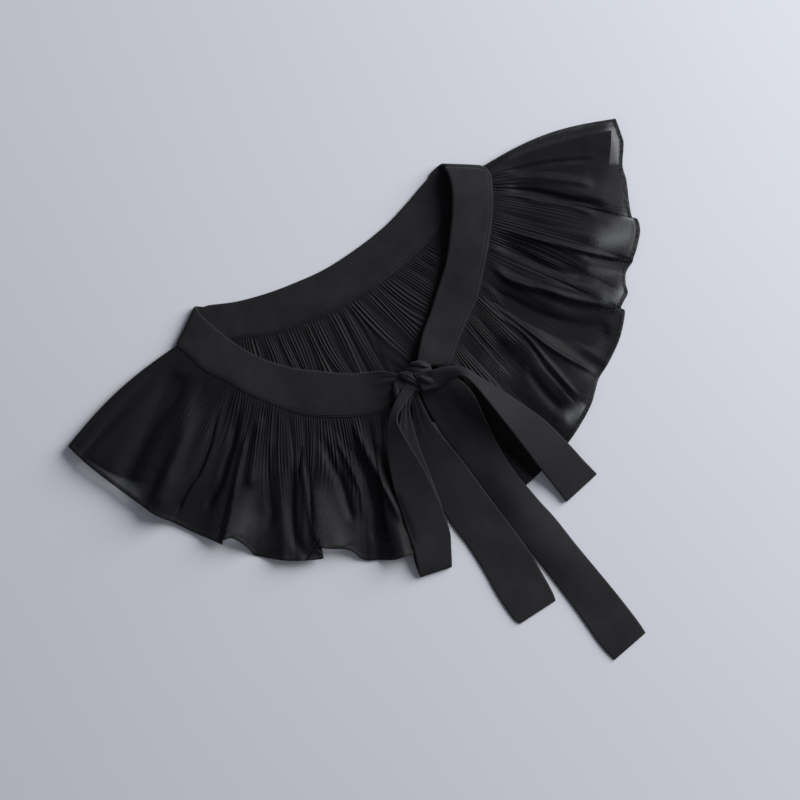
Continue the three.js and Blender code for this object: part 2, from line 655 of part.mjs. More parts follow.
function fromSolid(solid) {
  const mesh = solid.getMesh();
  const geometry = new THREE.BufferGeometry();
  geometry.setAttribute('position', new THREE.BufferAttribute(new Float32Array(mesh.vertProperties), 3));
  geometry.setIndex(new THREE.BufferAttribute(new Uint32Array(mesh.triVerts), 1));
  return geometry;
}

/** The knot: its strands joined, each of them wider by grow all round. */
function knotSolid(grow) {
  return KNOT_STRANDS.map((row) => toSolid(strand(row, grow))).reduce((whole, part) => whole.add(part));
}

const knotRoom = knotSolid(SEAM_GAP);

/** A piece cut back to just clear of the knot. The largest part left is the piece. */
function clearOfKnot(geometry) {
  const parts = toSolid(geometry).subtract(knotRoom).decompose();
  const largest = parts.reduce((best, part) => (part.volume() > best.volume() ? part : best));
  return fromSolid(largest);
}

// ---------------------------------------------------------------- finishes and the group

const CLOTH = {
  band: new THREE.MeshStandardMaterial({ color: 0x29292c, roughness: 0.85, metalness: 0 }),
  ties: new THREE.MeshStandardMaterial({ color: 0x2b2b2e, roughness: 0.85, metalness: 0 }),
  chiffon: new THREE.MeshStandardMaterial({ color: 0x1f1f21, roughness: 0.75, metalness: 0 }),
};

const PIECES = [
  ['band_back', backBand(), CLOTH.band],
  ['band_left', clearOfKnot(frontBand(LEFT_BAND, 1)), CLOTH.band],
  ['band_right', clearOfKnot(frontBand(RIGHT_BAND, -1)), CLOTH.band],
  ['ruffle_back', backRuffle(), CLOTH.chiffon],
  ['ruffle_left', frontRuffle(LEFT_BAND, LEFT_FOLDS, GATHERS.left, 1), CLOTH.chiffon],
  ['ruffle_right', frontRuffle(RIGHT_BAND, RIGHT_FOLDS, GATHERS.right, -1), CLOTH.chiffon],
  ['knot', fromSolid(knotSolid(0)), CLOTH.ties],
  ['loop_left', clearOfKnot(loop(LEFT_LOOP, 1)), CLOTH.ties],
  ['loop_right', clearOfKnot(loop(RIGHT_LOOP, 1)), CLOTH.ties],
  ['tail_middle', clearOfKnot(tail(MIDDLE_TAIL)), CLOTH.ties],
  ['tail_long', clearOfKnot(tail(LONG_TAIL)), CLOTH.ties],
];

const collar = new THREE.Group();
collar.position.set(TIE_POINT.x, TIE_POINT.y, 0);
for (const [name, geometry, material] of PIECES) {
  const mesh = new THREE.Mesh(geometry, material);
  mesh.name = name;
  collar.add(mesh);
}

export default collar;
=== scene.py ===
"""Dresses the tie-neck ruffle collar: black crepe neckband and bow, sheer gathered chiffon ruffle.

The collar lies flat as a collapsed ring. Its back half is underneath, inside up, and the two front
halves are folded over at the shoulders and lie on it. Sizes are in millimetres in the tie point's own
frame, +X from shoulder to shoulder, +Y to the nape and +Z up, and are turned to metres at the end.
"""

from __future__ import annotations

import logging
import math
from dataclasses import dataclass, field
from enum import Enum
from typing import Any, Sequence

import bpy
import numpy as np
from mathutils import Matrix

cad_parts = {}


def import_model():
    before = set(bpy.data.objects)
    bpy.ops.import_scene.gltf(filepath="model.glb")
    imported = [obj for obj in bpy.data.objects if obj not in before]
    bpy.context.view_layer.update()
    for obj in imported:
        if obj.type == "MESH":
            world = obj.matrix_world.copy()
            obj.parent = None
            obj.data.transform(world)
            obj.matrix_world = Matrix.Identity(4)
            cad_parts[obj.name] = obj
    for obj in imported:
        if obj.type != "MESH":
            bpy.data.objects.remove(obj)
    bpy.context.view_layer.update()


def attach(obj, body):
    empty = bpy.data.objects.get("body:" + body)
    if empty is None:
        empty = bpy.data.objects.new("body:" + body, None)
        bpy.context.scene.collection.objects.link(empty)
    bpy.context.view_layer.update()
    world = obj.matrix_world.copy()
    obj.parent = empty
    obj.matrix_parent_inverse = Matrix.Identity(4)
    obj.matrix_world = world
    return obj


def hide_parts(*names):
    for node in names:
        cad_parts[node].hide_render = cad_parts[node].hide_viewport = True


LOG = logging.getLogger("collar")
MM = 0.001
BODY = "root"

# Where the tie point's frame lies from the middle of the collar's footprint.
TIE_POINT = np.array([-4.0, 45.5, 0.0])

Edges = tuple[np.ndarray, np.ndarray]


class Slot(str, Enum):
    """Material slots of the record."""

    BAND = "band_cloth"
    TIES = "tie_cloth"
    CHIFFON = "chiffon"


class Side(Enum):
    """The two front halves."""

    LEFT = "left"
    RIGHT = "right"


# ------------------------------------------------------------------------------- tables and curves


@dataclass(frozen=True)
class Table:
    """Rows of sizes with named columns, one row for each station or fold."""

    names: tuple[str, ...]
    rows: np.ndarray

    @classmethod
    def of(cls, names: str, *rows: Sequence[float]) -> Table:
        """Builds a table from its columns' names, parted by spaces, and its rows."""
        return cls(tuple(names.split()), np.array(rows, float))

    def columns(self, names: str) -> np.ndarray:
        """Returns the named columns side by side."""
        return self.rows[:, [self.names.index(name) for name in names.split()]]

    def read(self, names: str, place: np.ndarray) -> np.ndarray:
        """Reads the named columns smoothly at places from 0 to the last row's number."""
        return smooth(self.columns(names), place)

    @property
    def last(self) -> int:
        """The last row's number."""
        return len(self.rows) - 1


def smooth(rows: np.ndarray, place: np.ndarray) -> np.ndarray:
    """Reads rows of numbers at places between them, on a smooth curve through the rows.

    Args:
        rows: One row for each whole place.
        place: Places from 0 to the last row's number.

    Returns:
        One row for each place.
    """
    last = len(rows) - 1
    place = np.asarray(place, float)
    start_row = np.clip(np.floor(place).astype(int), 0, last - 1)
    part = (place - start_row).reshape(-1, *[1] * (rows.ndim - 1))
    before, start, end, after = (rows[np.clip(start_row + n, 0, last)] for n in (-1, 0, 1, 2))
    slope_in, slope_out, rise = (end - before) / 2, (after - start) / 2, end - start
    bend = 3 * rise - 2 * slope_in - slope_out + part * (slope_in + slope_out - 2 * rise)
    return start + part * (slope_in + part * bend)


def smoothstep(value: np.ndarray, low: float, high: float) -> np.ndarray:
    """Returns 0 below low, 1 above high and a smooth rise between them."""
    share = np.clip((np.asarray(value, float) - low) / (high - low), 0, 1)
    return share * share * (3 - 2 * share)


def lerp(start: Any, end: Any, share: Any) -> Any:
    """Returns the value at a share of the way from start to end."""
    return start + (end - start) * share


def arch(share: np.ndarray) -> np.ndarray:
    """Returns a sine that is 0 at both ends of a span and 1 at its middle."""
    return np.sin(math.pi * share)


def wave(turns: np.ndarray) -> np.ndarray:
    """Returns a sine that repeats with each whole turn."""
    return np.sin(2 * math.pi * turns)


def soft_floor(height: np.ndarray, floor: Any, hardness: float) -> np.ndarray:
    """Returns heights that are eased up to a floor instead of passing below it."""
    return floor + np.logaddexp(0, (height - floor) * hardness) / hardness


def along(points: np.ndarray) -> np.ndarray:
    """Returns each point's distance along a polyline, from its first point."""
    steps = np.linalg.norm(np.diff(points, axis=0), axis=1)
    return np.concatenate([[0.0], np.cumsum(steps)])


def unit(vectors: np.ndarray) -> np.ndarray:
    """Returns vectors scaled to a length of 1."""
    return vectors / np.maximum(np.linalg.norm(vectors, axis=-1, keepdims=True), 1e-9)


def point_on(points: np.ndarray, share: np.ndarray) -> np.ndarray:
    """Finds points on a polyline.

    Args:
        points: The polyline.
        share: Shares of its length.

    Returns:
        One point for each share.
    """
    travelled = along(points)
    wanted = np.asarray(share) * travelled[-1]
    return np.stack([np.interp(wanted, travelled, points[:, k]) for k in range(points.shape[1])], 1)


class Wander:
    """A smooth wandering value between about -1 and 1, the same on each run."""

    KNOTS = 64
    ROUND = 60

    def __init__(self, seed: int, spacing: tuple[float, ...]) -> None:
        """Sets the wander up.

        Args:
            seed: Which of the possible wanders this is.
            spacing: Distance over which it changes, for each coordinate.
        """
        random = np.random.RandomState(seed)
        self.spacing = spacing
        self.knots = random.uniform(-1, 1, size=(self.KNOTS,) * len(spacing))

    def at(self, *coordinates: np.ndarray) -> np.ndarray:
        """Reads the wander.

        Args:
            coordinates: One or two coordinates, as arrays of one shape.

        Returns:
            The value at each place.
        """
        places = [np.mod(np.asarray(c, float) / s, self.ROUND) for c, s in zip(coordinates, self.spacing)]
        if len(places) == 1:
            return smooth(self.knots[:, None], places[0].ravel()).reshape(places[0].shape)
        rows = [np.floor(place).astype(int) for place in places]
        parts = [smoothstep(place - row, 0, 1) for place, row in zip(places, rows)]
        corner = [[self.knots[rows[0] + a, rows[1] + b] for b in (0, 1)] for a in (0, 1)]
        return lerp(lerp(*corner[0], parts[1]), lerp(*corner[1], parts[1]), parts[0])


@dataclass(frozen=True)
class Mark:
    """A soft trough or ridge, or a thin or calm place, along a line in plan."""

    width: float
    amount: float
    line: tuple[tuple[float, float], ...]
    fade: tuple[float, float] = (0.2, 0.15)

    def share_at(self, plan: np.ndarray) -> np.ndarray:
        """Finds how strongly the mark shows.

        Args:
            plan: Plan points, in an array of any shape.

        Returns:
            A strength from 0 to 1 for each point.
        """
        line = smooth(np.array(self.line, float), np.linspace(0, len(self.line) - 1, 10 * len(self.line)))
        ends = along(line) / along(line)[-1]
        strength = smoothstep(ends, 0, self.fade[0]) * (1 - smoothstep(ends, 1 - self.fade[1], 1))
        flat = plan.reshape(-1, 2)
        reach = 3 * self.width
        near = np.all((flat > line.min(0) - reach) & (flat < line.max(0) + reach), axis=1)
        found = np.zeros(len(flat))
        if near.any():
            away = np.linalg.norm(flat[near][:, None] - line[None], axis=2)
            nearest = away.argmin(1)
            distance = away[np.arange(len(nearest)), nearest] / self.width
            found[near] = np.exp(-distance ** 2) * strength[nearest]
        return found.reshape(plan.shape[:-1])


def marked(plan: np.ndarray, marks: Sequence[Mark]) -> np.ndarray:
    """Adds up what marks give at plan points."""
    return sum((mark.amount * mark.share_at(plan) for mark in marks), np.zeros(plan.shape[:-1]))


# ------------------------------------------------------------------------------- the collar's tables

# Back half of the band, from the left shoulder fold to the right one: neck edge and seam edge.
BACK_BAND = Table.of(
    "neckX neckY seamX seamY",
    (-82, 112, -104, 97),
    (-72, 108, -86, 89.5),
    (-58, 102.5, -68, 81.5),
    (-40, 98, -46, 73.5),
    (-20, 95, -23, 70),
    (0, 93.5, 0, 68.5),
    (22, 95, 24, 69.5),
    (44, 98.5, 48, 73),
    (62, 104, 70, 79),
    (78, 110, 92, 89),
    (93, 114.5, 115, 101),
)

# Front halves, from the knot to the shoulder fold, with the height of each edge's middle.
LEFT_BAND = Table.of(
    "neckX neckY neckZ seamX seamY seamZ",
    (8, 13, 9, 6, 5, 7.2),
    (0, 20.5, 7.2, -3, 1.5, 6),
    (-8, 24.5, 5.6, -12, -0.5, 5),
    (-20, 30, 4.7, -27, 3.5, 4.2),
    (-34, 39.5, 4.2, -44, 12, 3.6),
    (-46, 48, 3.9, -58, 22, 3.8),
    (-57, 58.5, 3.6, -69.5, 35, 4.6),
    (-66, 70, 3.4, -80, 48.5, 5.2),
    (-73, 83, 3.3, -89, 63, 5.1),
    (-78, 95, 3.4, -97, 75.5, 4.6),
    (-81.4, 105, 3.6, -101, 88, 4),
    (-82, 112, 3.8, -104, 97, 3.8),
)
RIGHT_BAND = Table.of(
    "neckX neckY neckZ seamX seamY seamZ",
    (20, 15, 6.6, 27, 9, 5.8),
    (26, 22.5, 6.6, 37.5, 5, 5.2),
    (33, 30, 5, 46, 11.5, 4.4),
    (43, 38.5, 4.4, 58, 21, 4),
    (53.5, 48.5, 4.4, 73, 32.5, 3.9),
    (66, 60.5, 5.4, 87, 48, 4.1),
    (77.5, 75.5, 8.4, 99, 62.5, 5),
    (86, 88.5, 10.6, 108, 75.5, 6.4),
    (91.5, 99, 11, 114.5, 88, 7),
    (93.6, 108, 9.6, 117, 95, 7),
    (93, 114.5, 7, 115, 101, 6.8),
)
# Where the right band's end lies inside the knot: its neck edge and its seam edge.
RIGHT_ROOT = np.array([(11.0, 8.0, 5.4), (18.0, 0.0, 5.2)])

# Folds of the ruffle, from the knot to the shoulder. at: how far along the band's seam edge; hemX and
# hemY: where the fold meets the hem; lift: how high its hem stands; bow: how far its middle swings to
# the left of its run from seam to hem; crest: how high its middle stands.
LEFT_FOLDS = Table.of(
    "at hemX hemY lift bow crest",
    (0.085, -26, -91, 0.8, 0, 0),
    (0.115, -39.5, -87, 6, -1.5, 0.3),
    (0.135, -45, -85.5, 8.8, -2.5, 0.8),
    (0.16, -52, -84, 6.2, -1, 1.6),
    (0.195, -60, -80, 1.2, 3, 1),
    (0.225, -66, -77, 0.4, 3, 0.3),
    (0.248, -69.2, -73.5, 1.9, 3, 0.8),
    (0.268, -71, -68, 4.4, 3, 1.4),
    (0.29, -74.5, -64, 6.2, 3, 0.8),
    (0.33, -80.5, -60.3, 7, 0.5, 1.5),
    (0.368, -85.5, -57, 7.2, -2, 1.6),
    (0.386, -87.3, -54.8, 7.2, -3, 1.4),
    (0.396, -89.8, -56.5, 6.6, -3, 1),
    (0.404, -88.3, -61.4, 5.6, -3, 0.8),
    (0.415, -90.5, -62, 5.6, -3, 0.7),
    (0.45, -98, -58.7, 5.6, -1.5, 0.4),
    (0.49, -107, -54, 5.6, 0, 1.2),
    (0.525, -116, -48, 2.5, 0, 0.6),
    (0.555, -122.5, -42.8, 0.5, 0, 1.2),
    (0.575, -125.8, -39.5, 0.6, 0, 1.4),
    (0.592, -126.6, -35, 3, 0, 1.2),
    (0.61, -128.2, -30, 6, 0, 1),
    (0.632, -132, -23.8, 7.6, 0, 1.4),
    (0.648, -136, -22.6, 7.8, 0, 1.4),
    (0.656, -139.6, -21.4, 7, 0, 1),
    (0.663, -139.3, -24.4, 5.8, 0, 0.9),
    (0.68, -143.5, -19, 4.5, 0, 0.8),
    (0.71, -150.5, -10.5, 1, 0, 0.4),
    (0.75, -160, 3, 3.1, 0, 2.2),
    (0.785, -166.5, 12.2, 7.5, -1, 0.5),
    (0.835, -173.3, 26, 6.2, -2, 1.5),
    (0.88, -184, 50, 5, -3, 0.8),
    (0.945, -190, 66, 5, -4, 0.6),
    (1, -193, 75.5, 0, -4, 0),
)
RIGHT_FOLDS = Table.of(
    "at hemX hemY lift bow crest",
    (0.03, 34, -84, 0.3, -3, 0),
    (0.08, 43, -84, 0.3, -2, 0.2),
    (0.13, 54, -81.5, 0, -1, 0.2),
    (0.18, 66, -78.5, 0.8, 0, 0.8),
    (0.23, 77, -74.5, 0, -1, 0),
    (0.285, 89, -68.5, 0.8, -2, 1),
    (0.33, 97, -63.5, 2.2, -2, 1.6),
    (0.37, 103, -59, 3.4, -2, 1.2),
    (0.4, 108, -54, 3, -2, 0.5),
    (0.44, 114, -48.5, 1, -2, 1.8),
    (0.49, 123, -43.5, 0, -2, 0.2),
    (0.535, 134, -36, 0.6, -2, 1.6),
    (0.575, 141, -29.5, 1.2, -1, 0.5),
    (0.61, 148.3, -20.3, 0.3, 0, 1),
    (0.62, 147, -17, 3, 0, 1.2),
    (0.64, 150, -14.3, 5.5, 0, 1.6),
    (0.67, 155, -11, 4.5, 0, 1.2),
    (0.7, 157, -5, 2.5, 0, 0.8),
    (0.725, 160.8, 0.8, 1, 1, 1.6),
    (0.75, 166.8, 4, 1, 1, 1.2),
    (0.765, 169, 6.5, 3.5, 1, 0.6),
    (0.79, 173.5, 10.5, 3.5, 1, 1.4),
    (0.825, 180.8, 18.8, 1.5, 2, 1.6),
    (0.85, 183, 26, 0.4, 2, 0.8),
    (0.858, 180.3, 28.3, 2.5, 3, 1),
    (0.885, 182.8, 36.5, 3, 3, 1.2),
    (0.915, 188.6, 50, 1.5, 4, 0.6),
    (0.94, 191.3, 60, 0.5, 4, 1),
    (0.975, 198.8, 73, 0, 5, 0.3),
    (1, 201, 87, 0, 5.5, 0),
)
BACK_FOLDS = Table.of(
    "at hemX hemY bow",
    (0, -192.5, 74, -4),
    (0.02, -186, 60, -3),
    (0.045, -174, 43, -2),
    (0.08, -153, 24, 0),
    (0.125, -127, 9, 0),
    (0.19, -95, -4, 0),
    (0.3, -48, -15, 0),
    (0.43, 4, -22, -2),
    (0.555, 52, -17, -3),
    (0.665, 93, -5, -5),
    (0.765, 126, 11, -7),
    (0.85, 150, 28.5, -8),
    (0.905, 173, 50, -5),
    (0.955, 189, 71, 0),
    (1, 198, 86, 5.5),
)

# Main creases of the front ruffles: width, height (below 0 for a trough), the line in plan, and the
# shares of it over which its start and its end fade.
LEFT_CREASES = (
    Mark(6.5, -4.2, ((-108, 82), (-125, 71), (-147, 58), (-168, 43), (-180, 33))),
    Mark(5.5, 3.36, ((-106, 70), (-119, 55), (-138, 37), (-158, 18), (-166, 10)), (0.4, 0.15)),
    Mark(1.4, -2.1, ((-97.5, 50.5), (-105.5, 44.5), (-113.5, 36), (-120.5, 29.5), (-130.5, 21.5),
        (-140.5, 16.5), (-159.5, 3.5))),
    Mark(2.4, -2.1, ((-89.5, 44), (-96.5, 36), (-104, 26.5), (-113, 18), (-121, 10), (-130.5, 4),
        (-140, -3))),
    Mark(1.8, 1.68, ((-89, 31), (-101, 19), (-116, 1), (-128, -14), (-137, -23)), (0.2, 0.02)),
    Mark(3.0, 2.66, ((-78, 34), (-88, 23), (-101, 6), (-108, -5))),
    Mark(3.2, -1.54, ((-81.5, 15.5), (-90, 6.5), (-95, -4), (-100, -14), (-104.5, -23.5), (-114, -31.5))),
    Mark(3.2, -2.1, ((-75, 0.5), (-82.5, -9.5), (-89.5, -21.5), (-94.5, -32.5), (-98.5, -45), (-97, -58)),
        (0.2, 0.02)),
    Mark(1.2, -1.26, ((-66.5, 4.5), (-72.5, -2.5), (-78.5, -11.5))),
    Mark(2.0, 1.4, ((-71.5, -4.5), (-77.5, -19.5), (-83.5, -35.5), (-87.5, -51.5)), (0.2, 0.02)),
    Mark(2.6, -2.24, ((-53, 6), (-56, -15), (-57, -28), (-60, -41.5), (-62, -54))),
    Mark(1.7, 1.54, ((-46, 5), (-47, -20), (-48, -35), (-53, -47.5), (-57, -54.5))),
    Mark(2.3, -1.82, ((-41, -5), (-41, -20), (-43, -35), (-47, -49.5), (-53, -61.5), (-58, -71.5))),
    Mark(2.4, 2.8, ((-31, 4.5), (-33, -9.5), (-34, -24), (-34.5, -42), (-35, -56), (-36, -68))),
    Mark(2.4, -1.68, ((-26.5, -15), (-27.5, -30), (-29, -50), (-32, -64.5), (-35, -77))),
)
RIGHT_CREASES = (
    Mark(2.4, 1.4, ((122, 89), (141, 78.5), (158, 66.5), (170, 57))),
    Mark(1.8, 1.26, ((111.5, 82), (124.5, 75), (134, 65.5), (149, 54), (162, 40))),
    Mark(2.6, -2.38, ((118, 82.5), (134, 72.5), (149, 58.5), (159, 50.5), (170, 40.5))),
    Mark(1.6, -0.98, ((122, 91.5), (140, 86.5), (159.5, 79.5), (177.5, 71))),
    Mark(1.7, 1.68, ((103, 63), (111, 56), (119, 48), (129, 39), (139, 29), (149, 20), (163, 8))),
    Mark(3.8, -3.64, ((98.5, 58.5), (109, 42.5), (120, 26.5), (131, 15), (142, 5)), (0.2, 0.2)),
    Mark(2.6, 3.22, ((89.5, 48.5), (93.5, 35), (100.5, 26), (110.5, 16.5), (120.5, 5.5), (133, -5.5),
        (147, -15.5)), (0.25, 0.02)),
    Mark(3.2, 1.82, ((108, 26), (117, 16), (127, 6), (137, -4), (146, -12)), (0.3, 0.02)),
    Mark(9.0, -3.36, ((62, 4), (72, -11), (80, -26)), (0.3, 0.4)),
    Mark(7.0, -5.6, ((79, 31.5), (90, 12), (104.5, -5.5), (119, -19.5), (133, -30)), (0.25, 0.1)),
    Mark(1.7, 1.82, ((77, 26.5), (84, 13.5), (90, -0.5), (96, -14.5), (103, -27.5), (110, -38.5),
        (115, -47.5))),
    Mark(1.4, 1.26, ((72, 23.5), (81, 11.5), (86, -0.5), (89, -12), (92, -27), (95, -42), (98, -55))),
    Mark(1.1, -0.84, ((83, 8), (87, -8), (88, -25), (91, -40), (95, -60)), (0.2, 0.02)),
    Mark(2.8, -1.26, ((78, -20), (80, -38.5), (84, -55.5))),
    Mark(1.8, -1.82, ((141, 25), (149, 17), (159, 9), (167, 2)), (0.2, 0.02)),
)

# Places where the ruffle lies opened out: width, layers of gathers (below 0 for fewer), and the line.
LEFT_OPEN = (
    Mark(24, -1.3, ((-118, 84), (-150, 62), (-175, 50)), (0.05, 0.05)),
    Mark(8, -1.9, ((-99, 6), (-108, -6), (-118, -16), (-127, -25)), (0.3, 0.02)),
    Mark(8, -1.1, ((-104, -16), (-112, -28), (-118, -40)), (0.3, 0.02)),
    Mark(10, -2.2, ((-63, -8), (-68, -28), (-70, -46), (-72, -62)), (0.35, 0.02)),
    Mark(6.5, -2.8, ((-188, 66), (-181, 51), (-170, 28), (-165, 20)), (0.15, 0.25)),
)
RIGHT_OPEN = (
    Mark(20, -1.5, ((128, 92), (150, 84), (175, 74)), (0.05, 0.05)),
    Mark(12, -1.2, ((118, 106), (155, 107), (192, 97)), (0.25, 0.05)),
    Mark(6.5, -2.5, ((198, 86), (192, 72), (186, 61)), (0.03, 0.12)),
    Mark(11, -2.45, ((150, 30), (164, 23), (181, 18)), (0.25, 0.02)),
    Mark(5, -1.0, ((165, 34), (176, 30), (184, 27))),
    Mark(3.8, -2.4, ((141, 16), (150, 8.5), (159, 1.5)), (0.1, 0.02)),
    Mark(7, -2.2, ((136, -4), (147, -9), (156, -11)), (0.3, 0.02)),
    Mark(5, -1.3, ((122, 9), (132, 2), (144, -5)), (0.4, 0.02)),
    Mark(7, -2.5, ((82, -59), (90, -60), (99, -57))),
    Mark(5, -1.5, ((106, -43), (112, -43), (118, -40))),
    Mark(6, -1.4, ((118, -34), (126, -32), (133, -28))),
)
BACK_OPEN = (RIGHT_OPEN[1], LEFT_OPEN[0], RIGHT_OPEN[0])

# Places where the gathers are pressed nearly flat, with the share that is taken off them.
LEFT_CALM = (
    Mark(22, 0.8, ((-112, 82), (-135, 64), (-160, 46)), (0.05, 0.05)),
    Mark(8, 0.5, ((-70, -30), (-75, -50), (-79, -60)), (0.3, 0.02)),
)
RIGHT_CALM = (
    Mark(18, 0.7, ((128, 94), (150, 86), (175, 76)), (0.05, 0.05)),
    Mark(13, 0.8, ((72, -1), (86, -20), (98, -40))),
    Mark(9, 0.7, ((100, 5), (118, -12), (134, -28))),
    Mark(14, 0.75, ((62, -10), (74, -30), (86, -52)), (0.3, 0.05)),
)

# Tails: left and right edge with the heights of their middle, from inside the knot to the end.
MIDDLE_TAIL = Table.of(
    "leftX leftY leftZ rightX rightY rightZ",
    (6, 0, 5.5, 12, 0, 6),
    (3, -10, 2.4, 10.8, -10, 5.4),
    (-2, -20, 1.8, 10.4, -20, 5.4),
    (-6, -33, 1.6, 12.2, -33, 4.8),
    (-9, -48, 1, 15, -48, 3.8),
    (-10, -63, 0.65, 17.1, -63, 3),
    (-10, -80, 0.65, 19, -79, 1.9),
    (-7.5, -100, 0.65, 21.9, -100, 1.7),
    (-6.5, -118, 0.65, 24.2, -118, 1.3),
    (-6.5, -135, 0.65, 24.6, -136, 0.65),
    (-5, -152, 0.65, 24.5, -150, 0.65),
    (-2.5, -157.5, 0.65, 23.5, -155.8, 0.65),
)
LONG_TAIL = Table.of(
    "leftX leftY leftZ rightX rightY rightZ",
    (13, 0, 3, 36, -2, 5.8),
    (11.9, -10, 1.4, 40, -11, 6.2),
    (11.9, -20, 1, 41.5, -21, 6.4),
    (12.6, -32, 0.8, 40.6, -33, 6),
    (15.1, -48, 0.7, 39.6, -47, 5.4),
    (17, -62, 0.65, 39.4, -60, 4.6),
    (18.8, -78, 0.65, 41, -77, 3.8),
    (20, -87, 0.65, 43, -87, 2.8),
    (21.3, -98, 0.65, 45.2, -98, 1),
    (23.2, -111, 0.65, 48.3, -111, 0.65),
    (26, -130, 0.65, 51.5, -131, 0.65),
    (29, -149, 0.65, 55, -150, 0.65),
    (31.8, -170, 0.65, 58.8, -171, 0.65),
    (34.2, -193, 0.65, 61.8, -191, 0.65),
    (37.5, -206, 0.65, 62.5, -200.5, 0.65),
)

# Loops: outer and inner edge of the upper layer, height of the lower layer's middle, room between the
# layers' middles, how far the lower layer lies to the right of the upper one, and how much lower the
# upper layer's outer edge lies than its inner one.
LEFT_LOOP = Table.of(
    "outerX outerY innerX innerY low room slip lean",
    (9, 8, 10, 0, 7, 3, 2, 0),
    (-3, 1, -1, -4.5, 7.2, 4, 6, 1),
    (-13, -8, -7, -9.5, 6.8, 4.6, 9, 2.5),
    (-18.5, -16, -8.2, -17, 6.4, 4.4, 8, 4),
    (-25, -30, -8, -31, 5.6, 3.8, 4.4, 4),
    (-30.5, -48, -7.6, -49, 5, 3.1, 1.6, 3),
    (-34.5, -68, -9.3, -68, 4.4, 2.4, 0.2, 1.2),
    (-37.5, -84, -12.4, -85, 3.9, 2.3, -1, -1.2),
    (-40, -93, -16.8, -95, 3, 2, -1.2, -1.4),
    (-42.5, -101.5, -22, -105.5, 0.65, 1.7, 0, 0),
)
RIGHT_LOOP = Table.of(
    "outerX outerY innerX innerY low room slip lean",
    (15, 10, 15, -2, 7, 5, 0, -1),
    (26, 6.8, 26, -5, 7.1, 6.4, 0, -3),
    (36, 3.4, 34.8, -4.6, 7, 9.6, 0, 0.5),
    (44, -2, 40.8, -6.6, 7.2, 12, 0, 4),
    (50, -12, 44.2, -15, 7.2, 12, 0, 6),
    (56, -22, 46, -25, 7, 10.6, 0, 6),
    (64, -38, 48.5, -39, 6.4, 8.4, 0, 5),
    (72, -55, 51.2, -55.5, 5.8, 6, 0, 4),
    (77.8, -75, 54.2, -75.5, 4.4, 4, 0, 2.4),
    (81, -88, 57, -92, 1.9, 2, 0, 0.6),
    (84, -99, 59, -105, 0.65, 1.7, 0, 0),
)

# Creases of the loops' upper layers.
LEFT_LOOP_CREASES = (Mark(2.0, -0.8, ((-30, -46), (-33, -66), (-36, -84))),)
RIGHT_LOOP_CREASES = (Mark(2.4, 0.8, ((22, 5), (30, 4), (37, 1), (43, -4), (49, -14)), (0.1, 0.3)),)

# Strands of the knot: ends and middle of each one's centre line, its half width, half height and turn.
KNOT_STRANDS = Table.of(
    "fromX fromY fromZ midX midY midZ toX toY toZ wide high turn",
    (1, 9, 8, 12, 4, 7.8, 26, -1, 7.4, 6.0, 3.6, 0.6),
    (7, 14, 8, 12, 9, 11, 17, 1.5, 9.6, 3.8, 2.4, 0.9),
    (15, 9.5, 10.5, 21, 2.4, 13.2, 26.8, -3.6, 6, 2.5, 2.2, 2.0),
    (15.5, 15.5, 8.6, 21.8, 13.2, 12, 26, 8.5, 8.6, 2.3, 2.2, -1.6),
    (12, 13.5, 8, 18.5, 11.2, 10.4, 26, 7, 9, 3.4, 2.1, 0.4),
    (-2, 4, 7, 0.6, -1.6, 7.6, 2, -6, 5, 2.6, 1.4, 0.9),
    (4, 12, 7.4, 0.6, 5.5, 9.6, -1.6, -1.5, 7, 2.1, 1.8, 0.5),
)


# ------------------------------------------------------------------------------- meshes


def to_scene(points: np.ndarray) -> np.ndarray:
    """Turns millimetres in the tie point's frame to metres in the collar's frame."""
    return (points + TIE_POINT) * MM


def new_object(name: str, data: bpy.types.ID) -> bpy.types.Object:
    """Makes an object and links it to the scene.

    Args:
        name: Its name.
        data: Its mesh, camera or light.

    Returns:
        The object.
    """
    made = bpy.data.objects.new(name, data)
    bpy.context.scene.collection.objects.link(made)
    return made


def new_piece(
    name: str,
    points: np.ndarray,
    faces: list[tuple[int, ...]],
    finish: bpy.types.Material,
    facts: dict[str, np.ndarray],
) -> bpy.types.Object:
    """Makes one mesh piece.

    Args:
        name: The piece's name.
        points: Its points in millimetres.
        faces: Its faces, as numbers of points.
        finish: Its material.
        facts: Values at each point that the material reads, by attribute name.

    Returns:
        The piece, linked to the scene.
    """
    mesh = bpy.data.meshes.new(name)
    mesh.from_pydata(to_scene(points).tolist(), [], faces)
    for fact, values in facts.items():
        kind, member = ("FLOAT", "value") if values.ndim == 1 else ("FLOAT_VECTOR", "vector")
        attribute = mesh.attributes.new(fact, kind, "POINT")
        attribute.data.foreach_set(member, values.astype(np.float32).ravel())
    mesh.shade_smooth()
    mesh.materials.append(finish)
    mesh.update()
    return new_object(name, mesh)


def dress(piece: bpy.types.Object, slot: Slot, *nodes: str) -> None:
    """Puts a piece on its body and hides the solids that it replaces.

    Args:
        piece: The piece.
        slot: Its material slot. Not used.
        nodes: The solids' names.
    """
    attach(piece, BODY)
    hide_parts(*nodes)


def grid_faces(rows: int, columns: int, closed: bool = False) -> list[tuple[int, ...]]:
    """Finds the faces of a grid of points.

    Args:
        rows: How many rows of points.
        columns: How many points a row has.
        closed: Whether each row runs round and joins its own start.

    Returns:
        The faces, all turned one way.
    """
    across = np.arange(columns if closed else columns - 1)
    start = (np.arange(rows - 1) * columns)[:, None]
    here, beside = start + across, start + (across + 1) % columns
    quads = np.stack([here, beside, beside + columns, here + columns], axis=-1).reshape(-1, 4)
    return [tuple(quad) for quad in quads.tolist()]


def grid_normals(points: np.ndarray) -> np.ndarray:
    """Returns the unit normals of a grid of points."""
    return unit(np.cross(np.gradient(points, axis=0), np.gradient(points, axis=1)))


